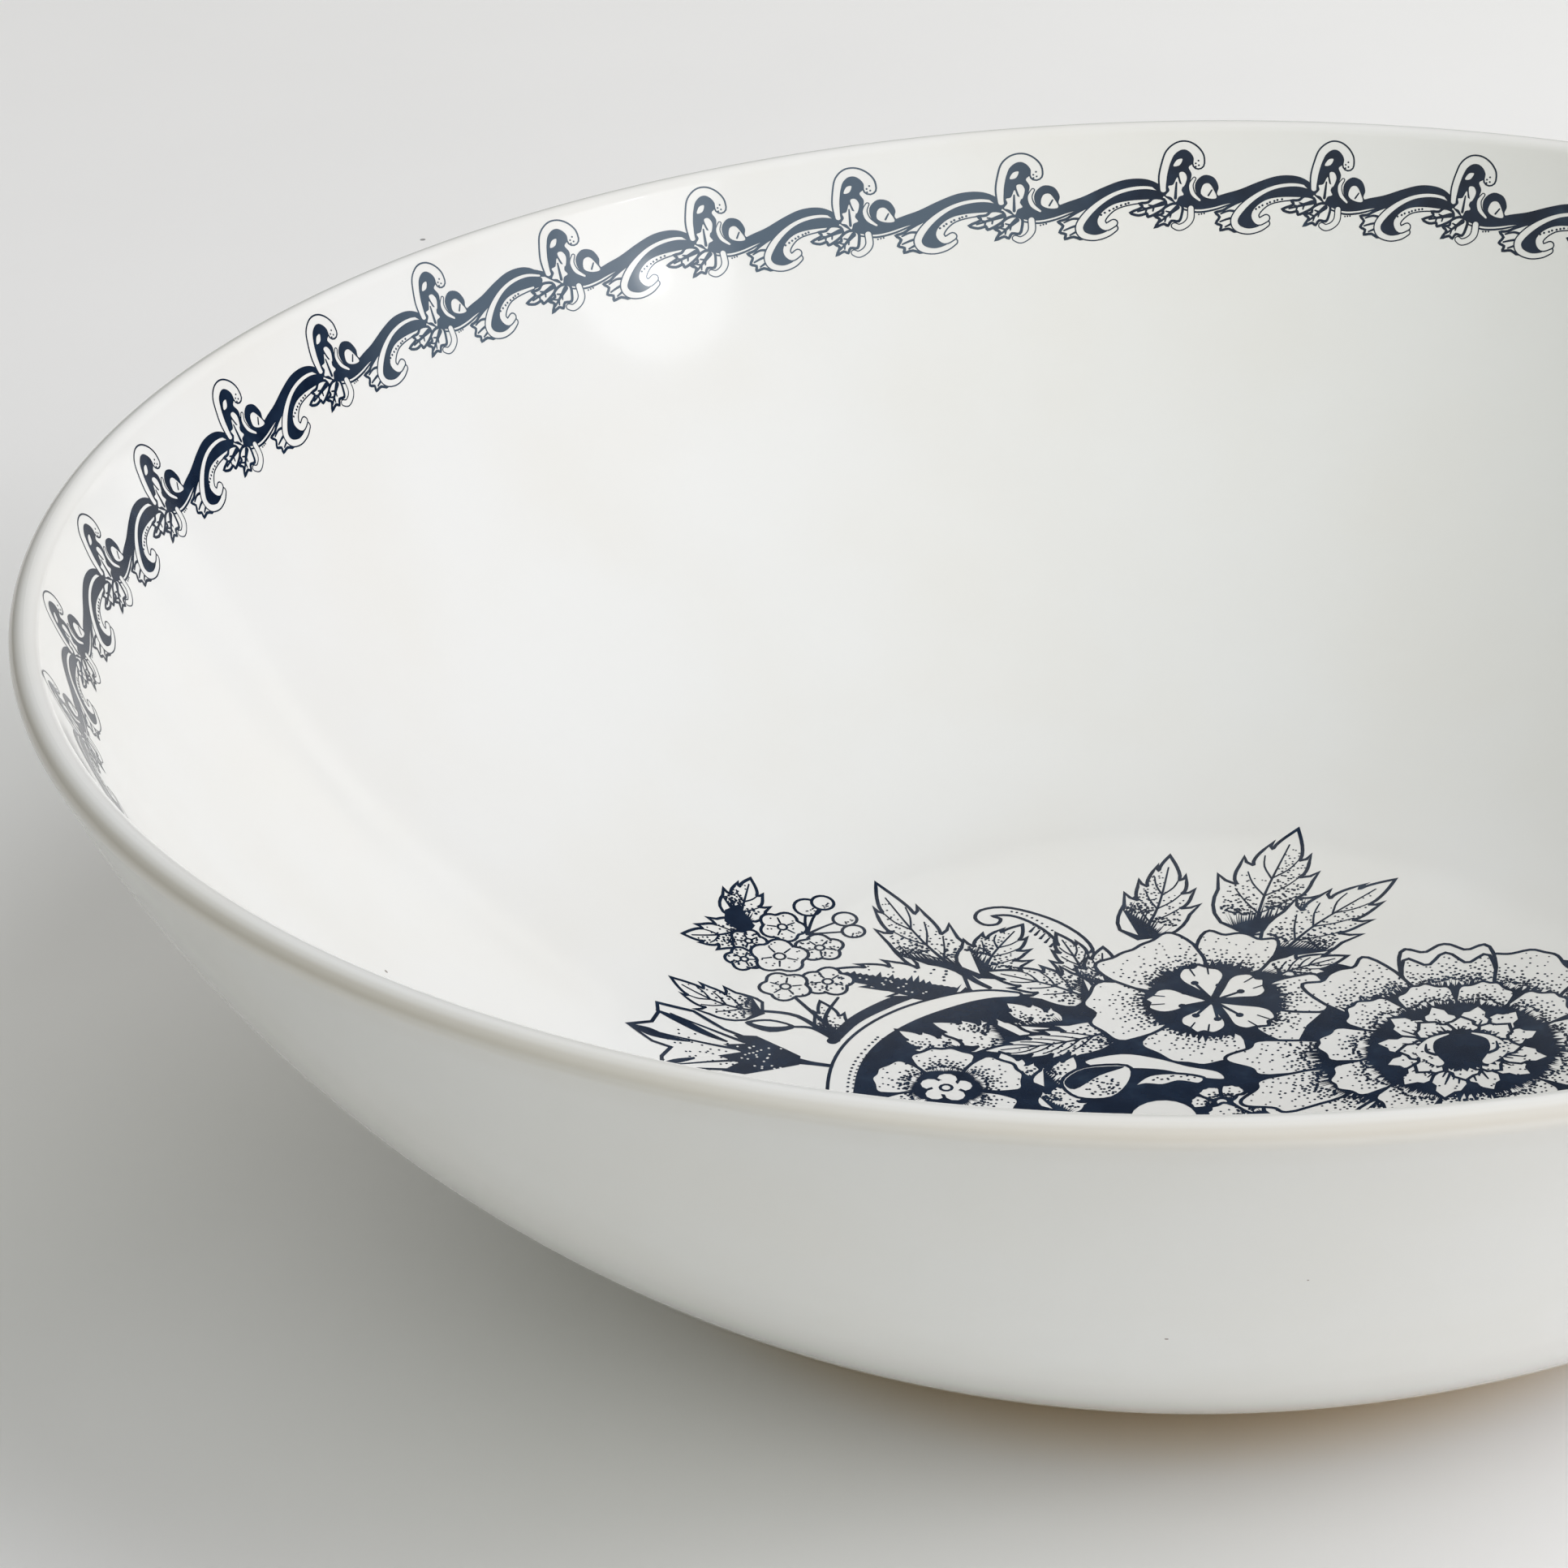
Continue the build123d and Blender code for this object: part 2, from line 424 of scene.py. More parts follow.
# ---- drawing kit: a print is a list of (outline in mm, inked or bare) laid on in order ----
rng = random.Random(11)
WEIGHT = 0.13  # mm that ink gains beyond its drawn width


def polar(x, y, r, t):
    return (x + r * math.cos(t), y + r * math.sin(t))


def grow(points, d):
    """The outline moved outwards by d, with blunted points."""
    n, out = len(points), []
    turn = 1 if area(points) > 0 else -1
    for i in range(n):
        ax, ay = points[i - 1]
        bx, by = points[i]
        cx, cy = points[(i + 1) % n]
        ux, uy, vx, vy = bx - ax, by - ay, cx - bx, cy - by
        lu, lv = math.hypot(ux, uy) or 1e-9, math.hypot(vx, vy) or 1e-9
        nx, ny = uy / lu + vy / lv, -ux / lu - vx / lv
        length = math.hypot(nx, ny)
        if length < 1e-6:
            nx, ny, length = uy / lu, -ux / lu, 1
        nx, ny = nx / length, ny / length
        reach = min(1 / max(nx * uy / lu - ny * ux / lu, 0.3), 2.2)
        out.append((bx + turn * d * reach * nx, by + turn * d * reach * ny))
    return out


def area(points):
    """Signed area of an outline."""
    return sum(
        points[i - 1][0] * points[i][1] - points[i][0] * points[i - 1][1]
        for i in range(len(points))
    ) / 2


def smooth(knots, steps=6, closed=False):
    """A Catmull-Rom curve through the knots, which may carry more than two numbers."""
    n, out = len(knots), []
    spans = n if closed else n - 1
    for i in range(spans):
        p = [
            knots[j % n] if closed else knots[min(max(j, 0), n - 1)]
            for j in (i - 1, i, i + 1, i + 2)
        ]
        for s in range(steps):
            t = s / steps
            out.append(
                tuple(
                    0.5
                    * (
                        2 * b
                        + (c - a) * t
                        + (2 * a - 5 * b + 4 * c - d) * t * t
                        + (3 * b - a - 3 * c + d) * t**3
                    )
                    for a, b, c, d in zip(*p)
                )
            )
    if not closed:
        out.append(tuple(knots[-1]))
    return out


def stroke_outline(path):
    """Outline of a brush stroke through (x, y, width) points, with round ends."""
    left, right = [], []
    for i, (x, y, w) in enumerate(path):
        a, b = path[max(i - 1, 0)], path[min(i + 1, len(path) - 1)]
        dx, dy = b[0] - a[0], b[1] - a[1]
        length = math.hypot(dx, dy) or 1e-9
        nx, ny = -dy / length * w / 2, dx / length * w / 2
        left.append((x + nx, y + ny))
        right.append((x - nx, y - ny))

    def cap(p, q, r):
        ahead = math.atan2(p[1] - q[1], p[0] - q[0])
        return [
            polar(p[0], p[1], r, ahead + a)
            for a in (math.pi / 3, math.pi / 6, 0, -math.pi / 6, -math.pi / 3)
        ]

    end = cap(path[-1], path[-2], path[-1][2] / 2)
    start = cap(path[0], path[1], path[0][2] / 2)
    return left + end + right[::-1] + start


class Sheet:
    """One transfer's drawing."""

    def __init__(self):
        self.shapes = []

    def fill(self, points, ink):
        """A closed outline, inked or cleared."""
        if area(points) < 0:
            points = points[::-1]
        self.shapes.append((points, ink))

    def brush(self, knots, ink=True, steps=5):
        """A stroke through (x, y, width) knots."""
        if ink:
            knots = [(x, y, w + WEIGHT) for x, y, w in knots]
        self.fill(stroke_outline(smooth(knots, steps)), ink)

    def band(self, knots, line=0.3, steps=5):
        """A bare ribbon through (x, y, width) knots, edged with ink."""
        path = smooth(knots, steps)
        self.fill(stroke_outline([(x, y, w + 2 * line) for x, y, w in path]), True)
        self.fill(stroke_outline(path), False)

    def patch(self, points, line=0.4):
        """A bare shape edged with ink."""
        self.fill(grow(points, line / 2 + WEIGHT / 2), True)
        self.fill(grow(points, -line / 2 - WEIGHT / 2), False)

    def dot(self, x, y, r, ink=True, sides=6):
        a0 = rng.uniform(0, 6)
        r += WEIGHT / 2.5 if ink else 0
        self.fill([polar(x, y, r, a0 + k * math.tau / sides) for k in range(sides)], ink)

    def disc(self, x, y, r, line=0.35, sides=20):
        self.patch([polar(x, y, r, k * math.tau / sides) for k in range(sides)], line)

    def blob(self, points, ink, steps=4):
        """A rounded closed shape through the points."""
        self.fill(smooth(points, steps, True), ink)

    def pad(self, points, line=0.4, steps=4):
        """A rounded bare shape edged with ink."""
        self.patch(smooth(points, steps, True), line)

    def fringe(self, warp, low, high, depth, spike, pitch, b_low=-1.0, b_high=1.0, size=10.0):
        """Dark shading at the root of a petal or leaf, ending in a fringe of spikes."""
        n = max(4, int((b_high - b_low) * size / pitch))
        edge = []
        for i in range(n + 1):
            b = b_low + (b_high - b_low) * (i + rng.uniform(-0.3, 0.3) * (0 < i < n)) / n
            a = depth(b) + (spike * rng.uniform(0.1, 1.0) ** 1.4 if i % 2 else -0.02)
            edge.append(warp(min(a, high), b))
        root = [warp(low, b_low + (b_high - b_low) * i / 6) for i in range(7)]
        self.fill(edge + root[::-1], True)

    def burst(self, x, y, rx, ry, spike):
        """A dark oval whose edge breaks up into fine rays."""
        n = 2 * int(math.pi * (rx + ry) / 0.85)
        pts = []
        for k in range(n):
            t = (k + rng.uniform(-0.3, 0.3)) * math.tau / n
            d = spike * rng.uniform(0.2, 1.0) if k % 2 else 0
            pts.append((x + (rx + d) * math.cos(t), y + (ry + d) * math.sin(t)))
        self.fill(pts, True)

    def stipple(self, warp, a_low, a_high, b_low, b_high, rows, per_row, size=0.2):
        """Rows of dots, close and heavy at a_low, thinning out towards a_high."""
        for i in range(rows):
            t = i / max(rows - 1, 1)
            a = a_low + (a_high - a_low) * t**1.35
            count = max(2, round(per_row * (1.5 - 0.9 * t)))
            for k in range(count):
                if rng.random() < 0.45 * t:
                    continue
                b = b_low + (b_high - b_low) * (k + 0.5 * (i % 2) + rng.uniform(-0.25, 0.25)) / count
                x, y = warp(a + rng.uniform(-0.02, 0.02), b)
                self.dot(x, y, size * (1.15 - 0.6 * t) * rng.uniform(0.8, 1.2), sides=5)


def leaf(sheet, base, tip, width, teeth=3, bend=0.0, shade=0.3, line=0.42, dark_side=1, veins=3, fat=0.46):
    """A serrated leaf: outline, ribs, a dark root and stippling on one side."""
    bx, by = base
    dx, dy = tip[0] - bx, tip[1] - by
    length = math.hypot(dx, dy)
    ux, uy = dx / length, dy / length

    def half(a):
        a = min(max(a, 0.0), 1.0)
        return width / 2 * (a / 0.36) ** fat * ((1 - a) / 0.64) ** 1.05

    def warp(a, b):
        off = bend * length * math.sin(math.pi * min(max(a, 0), 1)) + b * half(a)
        return (bx + ux * a * length - uy * off, by + uy * a * length + ux * off)

    def side(sign):
        """One edge from base to tip: each lobe swells, ends in a point and is cut back."""
        pts, low = [], 0.0
        for k in range(teeth + 1):
            high = 1.0
            if k < teeth:
                high = 0.3 + 0.6 * (k + 0.75 + 0.2 * sign + rng.uniform(-0.1, 0.1)) / (teeth + 0.5)
            for s in range(6):
                t = s / 6
                pts.append(warp(low + (high - low) * t, sign * (1.0 if k == 0 else 0.7 + 0.36 * t**0.7)))
            if k < teeth:
                pts.append(warp(high + 0.06, sign * 1.26))
                pts.append(warp(high + 0.015, sign * 0.98))
                pts.append(warp(high - 0.005, sign * 0.72))
            low = high
        return pts

    outline = side(1) + [tip] + side(-1)[::-1]
    sheet.patch(outline, line)
    if veins:
        sheet.brush([(*warp(0.02, 0), 0.42), (*warp(0.4, 0), 0.26), (*warp(0.86, 0), 0.12)])
    for k in range(veins):
        a = 0.2 + 0.5 * k / max(veins, 1)
        for sign in (1, -1):
            vein = [(*warp(a, 0), 0.2), (*warp(a + 0.1, sign * 0.36), 0.16),
                    (*warp(a + 0.2, sign * 0.66), 0.1)]
            sheet.brush(vein, steps=3)
    if shade > 0:
        def root(b):
            return shade * (0.55 + 0.45 * b * dark_side)

        sheet.fringe(warp, 0.0, 0.9, root, 0.16, 0.42, -0.97, 0.97, width)
        rows = max(3, int(length / 1.6))
        dots, few = max(2, int(width / 1.5)), max(2, int(width / 2.2))
        sheet.stipple(warp, shade * 0.9, 0.8, 0.1 * dark_side, 0.9 * dark_side, rows + 3, dots)
        sheet.stipple(warp, shade * 0.6, 0.55, -0.12 * dark_side, -0.85 * dark_side, rows, few)
    return warp


def petal(sheet, centre, turn, spread, root, reach, ruffle=0.05, lobes=2, notch=0.1, shade=0.35,
          line=0.42, rows=5, spike=0.14, fold=False):
    """A rounded petal about a flower's centre: stippled, with a dark fringed root."""

    def edge(b):
        full = 0.7 + 0.3 * max(0.0, 1 - abs(b) ** 2.6) ** 0.55
        dip = notch * math.exp(-((b / 0.2) ** 2))
        return reach * full * (1 + ruffle * math.cos(lobes * math.pi * b)) - reach * dip

    def warp(a, b):
        # The sides bulge past the straight sector so that petals lap over each other.
        t = turn + spread * b * (0.72 + 0.28 * math.sin(math.pi * min(max(a, 0), 1) * 0.72))
        return polar(*centre, root + a * (edge(b) - root), t)

    n = 26
    rim = [warp(1.0, -1 + 2 * i / n) for i in range(n + 1)]
    up = [warp(i / 6, -1) for i in range(6)]
    down = [warp(1 - i / 6, 1) for i in range(1, 7)]
    sheet.patch(up + rim + down, line)
    if shade > 0:
        size = spread * 2 * (root + reach * 0.5)

        def dark(b):
            return shade * (0.85 + 0.3 * abs(b))

        sheet.fringe(warp, -0.05, 0.9, dark, spike, 0.4, -0.97, 0.97, size)
        sheet.stipple(warp, shade + 0.08, 0.92, -0.85, 0.85, rows + 4, max(3, int(size / 1.05)))
    if fold:
        crease = [warp(0.8 + 0.05 * math.cos(9 * b / 10), b / 10) for b in range(-9, 10)]
        sheet.patch(crease + [warp(1.0, b / 10) for b in range(9, -10, -1)], line)
    return warp


def floret(sheet, x, y, r, turn=0.0, shaded=False):
    """A small five-petalled flower."""
    n = 40
    angles = [math.tau * i / n for i in range(n)]
    ring = [polar(x, y, r * (0.78 + 0.24 * abs(math.cos(2.5 * (t - turn)))), t) for t in angles]
    sheet.patch(ring, 0.36)
    sheet.disc(x, y, r * 0.2, 0.24, 10)
    for k in range(5):
        t = turn + (k + 0.5) * math.tau / 5
        sheet.brush([(*polar(x, y, r * 0.3, t), 0.2), (*polar(x, y, r * 0.62, t), 0.12)], steps=1)
        for _ in range(7 if shaded else 3):
            q = t + rng.uniform(-0.5, 0.5)
            d = r * rng.uniform(0.4, 0.85)
            sheet.dot(*polar(x, y, d, q), 0.17 if shaded else 0.13, sides=5)


# ---- the print's motifs ----
def border_unit(sheet, at):
    """One repeat of the scroll border; x runs along the rim, y down from the lip."""

    def put(points):
        return [(*at(p[0], p[1]), *p[2:]) for p in points]

    def ink(points):
        sheet.blob(put(points), True, 5)

    def narrow(points):
        """Draws the crook's top in towards its right side."""
        return [
            (x + 0.16 * (3.3 - x) * min(1.0, max(0.0, (9.5 - y) / 4.5)), y, *w) for x, y, *w in points
        ]

    # Feathered leaf behind the scroll.
    feather = [(9.6, 10.4), (7.6, 11.1), (6.4, 11.8), (5.3, 12.1), (5.9, 12.8), (5.4, 13.7), (6.2, 14.1),
               (6.1, 14.8), (7.3, 14.6), (8.5, 15.0), (8.9, 13.0)]
    sheet.pad(put(feather), 0.28, 3)
    for x, y in ((6.1, 12.3), (6.0, 13.5), (6.8, 14.3)):
        sheet.brush(put([(x, y, 0.12), ((x + 8.6) / 2, y - 0.45, 0.22), (8.7, 11.9 + (y - 12) * 0.6, 0.3)]))
    # Vine.
    ink([(-4.4, 7.2), (-2.0, 8.4), (0.0, 9.3), (2.2, 10.1), (4.4, 9.9), (6.8, 9.2), (8.9, 8.6),
         (11.8, 7.4), (14.3, 6.6), (16.6, 6.5), (18.4, 7.0), (20.0, 8.2), (20.4, 8.9), (17.8, 8.1),
         (15.6, 8.0), (13.2, 8.7), (11.0, 9.7), (9.0, 10.4), (6.6, 10.9), (4.6, 11.4), (2.6, 11.6),
         (0.6, 11.2), (-1.6, 9.9)])
    # Scroll: bare band round a dark crescent.
    outer = [(19.6, 8.5, 0.3), (17.6, 7.95, 0.42), (15.4, 8.0, 0.5), (13.2, 8.6, 0.55), (11.1, 9.8, 0.7),
             (9.3, 11.4, 0.9), (8.2, 13.1, 0.95), (8.6, 14.4, 0.95), (10.2, 14.95, 0.75), (11.9, 14.6, 0.7),
             (13.0, 13.8, 0.8)]
    inner = [(18.0, 9.9, 0.3), (15.2, 10.05, 0.55), (13.2, 10.5, 0.75), (11.8, 11.5, 0.95),
             (11.2, 12.6, 1.0), (11.8, 13.5, 0.95), (12.9, 13.0, 0.95)]
    ink([(19.8, 8.8), (16.4, 8.1), (13.6, 8.7), (11.4, 9.8), (9.6, 11.4), (8.4, 13.3), (9.2, 14.6),
         (11.5, 14.3), (11.0, 13.4), (10.8, 12.6), (11.5, 11.5), (12.8, 10.5), (14.8, 10.0), (18.9, 10.1)])
    sheet.band(put(outer), 0.2)
    sheet.band(put(inner), 0.2)
    for k in range(9):
        sheet.dot(*at(10.7 + 0.55 * k + rng.uniform(-0.1, 0.1), 11.9 - 1.9 * math.sin(k / 6.5)), 0.13)
    under = [(0.4, 11.5, 0.1), (2.6, 12.0, 0.16), (5.0, 11.7, 0.16), (7.4, 10.9, 0.12), (9.6, 10.0, 0.1)]
    sheet.brush(put(under))
    for k in range(3):
        sheet.dot(*at(2.8 + 0.4 * k, 12.35 - 0.06 * k), 0.09)
    # Leaves and loop hanging under the joint.
    left = [(-2.2, 9.9), (-3.6, 9.6), (-4.4, 10.2), (-5.5, 10.3), (-5.2, 10.9), (-6.8, 11.6), (-5.7, 12.1),
            (-4.6, 11.9), (-4.4, 12.4), (-3.2, 11.9), (-2.0, 11.0)]
    lower = [(-1.0, 10.6), (-2.3, 11.3), (-2.4, 12.0), (-3.4, 12.4), (-2.8, 12.9), (-3.4, 14.0),
             (-2.3, 13.6), (-1.7, 13.9), (-1.2, 13.2), (-0.2, 13.3), (0.2, 12.4), (0.3, 11.0)]
    loop = [(1.6, 11.4, 0.8), (1.55, 12.9, 0.85), (0.9, 13.8, 0.8), (-0.1, 14.25, 0.8), (-0.8, 13.95, 0.7)]
    sheet.band(put(loop), 0.17)
    for outline, rib in ((left, (-2.4, 10.5, -5.8, 11.5)), (lower, (-0.4, 11.2, -2.8, 13.3))):
        sheet.pad(put(outline), 0.28, 3)
        x0, y0, x1, y1 = rib
        sheet.brush(put([(x0, y0, 0.6), ((x0 + x1) / 2, (y0 + y1) / 2, 0.3), (x1, y1, 0.12)]))
        for t in (0.35, 0.65):
            x, y = x0 + (x1 - x0) * t, y0 + (y1 - y0) * t
            sheet.brush(put([(x, y, 0.2), (x - 0.7, y - 0.25, 0.1)]))
            sheet.brush(put([(x, y, 0.2), (x - 0.15, y + 0.7, 0.1)]))
    # Crook.
    crook = [(-2.5, 8.4, 0.8), (-2.95, 6.4, 0.95), (-2.8, 4.4, 1.0), (-2.1, 2.9, 1.1), (-0.8, 2.0, 1.15),
             (0.6, 1.95, 1.15), (1.8, 2.6, 1.25), (2.55, 3.6, 1.4), (2.6, 4.6, 1.5)]
    sheet.band(put(narrow(crook)), 0.25)
    heart = [(-2.1, 8.6), (-2.4, 6.0), (-2.0, 4.0), (-0.8, 2.8), (0.8, 2.75), (1.7, 3.8), (1.6, 4.6),
             (0.9, 5.2), (1.5, 6.3), (1.3, 8.0), (2.2, 10.2), (0.4, 11.0), (-1.2, 9.8)]
    ink(narrow(heart))
    for x, y in ((2.3, 4.6), (2.75, 4.9), (2.3, 5.1), (2.7, 4.2)):
        sheet.dot(*at(x, y), 0.1)
    sheet.blob(put(narrow([(-1.7, 4.9), (-1.1, 4.0), (-0.2, 3.9), (-0.7, 4.8)])), False)
    sheet.blob(put([(-0.1, 6.0), (0.6, 5.9), (1.0, 6.8), (0.5, 8.1), (0.1, 7.2)]), False)
    sprig = [(-0.8, 6.6), (-0.3, 7.6), (0.3, 7.8), (0.1, 8.6), (0.5, 9.3), (-0.2, 9.6), (-0.6, 10.4),
             (-1.2, 9.6), (-2.0, 9.3), (-1.6, 8.6), (-1.9, 7.9), (-1.2, 7.7)]
    sheet.blob(put(narrow(sprig)), False, 3)
    sheet.brush(put(narrow([(-0.8, 7.4, 0.1), (-0.7, 8.6, 0.22), (-0.65, 9.8, 0.3)])))
    # Bud held in a bare crescent.
    sheet.band(put([(2.1, 6.9, 0.3), (1.6, 7.9, 0.5), (1.9, 9.2, 0.55), (2.9, 10.2, 0.3)]), 0.16)
    bud = [(3.5, 6.4), (5.0, 6.8), (5.7, 8.2), (5.5, 9.3), (6.2, 10.3), (3.8, 10.4), (2.4, 9.2), (2.3, 7.5)]
    sheet.blob(put(bud), True)
    belly = [(3.4, 7.9), (4.3, 7.7), (5.0, 8.7), (5.4, 9.9), (4.1, 9.9), (3.1, 9.2)]
    sheet.blob(put(belly), False)
    sheet.brush(put([(4.7, 8.7, 0.1), (4.2, 9.5, 0.14)]))


def berry(sheet, x, y, r, root, side):
    """A berry on its stalk, dotted towards one side."""
    sheet.brush([(*root, 0.42), ((root[0] + x) / 2 - 0.3, (root[1] + y) / 2, 0.3), (x, y, 0.3)])
    sheet.disc(x, y, r, 0.34)
    for _ in range(9):
        t = side + rng.uniform(-1.0, 1.0)
        d = r * rng.uniform(0.35, 0.8)
        sheet.dot(*polar(x, y, d, t), 0.11, sides=5)


def blossom(sheet, x, y, r, turn):
    """Open flower: five bare broad petals and a spray of stamens."""
    edge = ((0.1, -0.5), (0.42, -1.02), (0.7, -1.1), (0.86, -0.78), (0.9, -0.4), (1.0, -0.05), (0.93, 0.16),
            (0.97, 0.5), (0.84, 0.9), (0.66, 1.08), (0.4, 1.0), (0.1, 0.5))
    for k in range(5):
        t = turn + (k + (0, 0.06, -0.05, 0.04, -0.06)[k]) * math.tau / 5
        wide = (0.44, 0.5, 0.42, 0.48, 0.44)[k]
        tip = r * (1.0, 0.92, 1.06, 0.95, 1.02)[k]
        sheet.pad([polar(x, y, tip * a, t + q * wide) for a, q in edge], 0.42, 3)
        for q in (-0.35, 0.3):
            nick = [(*polar(x, y, tip * a, t + q * wide), w) for a, w in ((0.9, 0.16), (0.72, 0.1))]
            sheet.brush(nick, steps=1)
    sheet.fill([polar(x, y, r * 0.13, k) for k in range(6)], True)
    for k in range(9):
        t = turn + 0.2 + k * math.tau / 9 + rng.uniform(-0.1, 0.1)
        head = polar(x, y, r * rng.uniform(0.4, 0.56), t + 0.06)
        sheet.brush([(*polar(x, y, 0.3, t), 0.4), (*head, 0.3)], steps=1)
        sheet.dot(*head, 0.52, sides=8)


def rosette(sheet, x, y, r, turn, points=12):
    """Ragged double heart of a full flower: pointed petals round a dark core."""
    sheet.fill([polar(x, y, r * 0.8, k * 0.3) for k in range(21)], True)
    edge = ((0.35, -0.8), (0.6, -1.15), (0.74, -0.95), (0.78, -0.62), (0.88, -0.5), (1.0, 0.05), (0.86, 0.42),
            (0.84, 0.72), (0.7, 1.05), (0.35, 0.8))
    for reach, count, shift in ((1.0, points, 0), (0.7, 8, 0.4)):
        for k in range(count):
            t = turn + shift + (k + rng.uniform(-0.12, 0.12)) * math.tau / count
            far = r * reach * rng.uniform(0.92, 1.1)
            wide = 3.3 / count

            def at(a, q):
                return polar(x, y, far * a, t + q * wide)

            sheet.patch([at(a, q) for a, q in edge], 0.36)
            for q in (-0.6, -0.2, 0.2, 0.6):
                sheet.brush([(*at(0.35, q), 0.5), (*at(rng.uniform(0.56, 0.74), q * 0.9), 0.1)], steps=1)
            for _ in range(5):
                sheet.dot(*at(rng.uniform(0.6, 0.9), rng.uniform(-0.5, 0.5)), 0.14, sides=5)
    sheet.burst(x, y, r * 0.5, r * 0.42, 1.0)
    for s in (-1, 1):
        curl = [(x + s * r * 0.14, y + r * 0.34, 0.3), (x + s * r * 0.34, y + r * 0.22, 1.1),
                (x + s * r * 0.42, y - r * 0.04, 2.4), (x + s * r * 0.28, y - r * 0.28, 1.5)]
        sheet.brush(curl, False)
        sheet.brush([(x + s * r * 0.3, y - r * 0.1, 0.5), (x + s * r * 0.4, y - r * 0.02, 0.4),
                     (x + s * r * 0.4, y + r * 0.14, 0.1)])
        for _ in range(7):
            sheet.dot(x + s * r * rng.uniform(0.3, 0.5), y + r * rng.uniform(-0.24, 0.1), 0.17, sides=5)


def scallop(sheet, x, y, r, arc_from, arc_to, count, reach, **looks):
    """A row of petals round part of a flower."""
    for k in range(count):
        t = math.radians(arc_from + (arc_to - arc_from) * (k + 0.5) / count)
        spread = math.radians(abs(arc_to - arc_from)) / count / 2 * 1.06
        petal(sheet, (x, y), t, spread, r, reach * rng.uniform(0.95, 1.05), **looks)


def bellflower(sheet):
    """Side-on bell with three long points, its calyx and stem."""
    bell = [(-58.5, 5.6), (-62, 7.4), (-66.5, 10.6), (-71.6, 10.4), (-71.2, 8.2), (-71.8, 5.6),
            (-74.9, 3.1), (-71.2, 0.9), (-68.6, 0.6), (-69.6, -2.2), (-69.2, -5.2), (-66.4, -4.0),
            (-62.6, -3.0), (-58.6, -2.4)]
    sheet.patch(bell, 0.42)
    for x0, y0, x1, y1 in ((-59, 4.6, -69.5, 8.8), (-59, 2.6, -72.6, 3.4), (-59, 0, -67.6, -3.4)):
        sheet.brush([(x0, y0, 0.5), ((x0 + x1) / 2, (y0 + y1) / 2 + 0.4, 0.3), (x1, y1, 0.12)])
    for _ in range(44):
        a = rng.random() ** 1.6
        y = rng.uniform(-2, 4.8) * (1 - 0.2 * a) + 3.2 * a * rng.choice((-1, 0.2, 1))
        sheet.dot(-59.5 - 10 * a, y, 0.15, sides=5)
    for shade in ([(-71.4, 8.6, 0.3), (-68, 7.6, 1.3), (-64.4, 5.8, 1.0), (-61.4, 4.4, 0.3)],
                  [(-74.4, 3.1, 0.5), (-72, 3.0, 1.7), (-69.6, 2.8, 1.0), (-66.4, 3.0, 0.2)],
                  [(-69.4, -4.2, 0.3), (-67.6, -2.6, 0.9), (-65.4, -1.0, 0.4)]):
        sheet.brush(shade)
    calyx = [(-60.6, 6.2), (-57.5, 6.4), (-53.4, 3.6), (-51.2, 2.0), (-51.2, -0.2), (-54, -1.6), (-58.2, -3.6),
             (-61.4, -3.2), (-59.4, -0.8), (-62.2, 0.6), (-59.2, 2.0), (-61.8, 3.6), (-58.8, 4.2)]
    sheet.fill(calyx, True)
    for _ in range(26):
        sheet.dot(rng.uniform(-60, -53.5), rng.uniform(-1.8, 3.8), 0.2, False, 5)
    sheet.brush([(-53, 1, 2.0), (-49.8, 0.4, 0.9), (-46.8, 0.0, 0.7), (-44, -0.4, 0.6)])


def bouquet(sheet):
    """The posy in the well, in mm from its middle, v towards the back."""
    ground = [(-44, -8), (-43, 4), (-38.5, 12.6), (-31, 18.6), (-22, 20.6), (-13, 21), (-6, 25), (0, 31),
              (8, 30), (13, 28), (20, 29), (28, 26), (40, 28), (55, 26), (66, 14), (70, -6), (58, -28),
              (34, -42), (4, -50), (-24, -44), (-40, -28)]
    sheet.blob(ground, True)
    for part in (
        upper_leaves, lower_leaves, left_cluster, inner_leaves,
        small_flowers, double_flower, full_flower, lower_flowers,
    ):
        part(sheet)


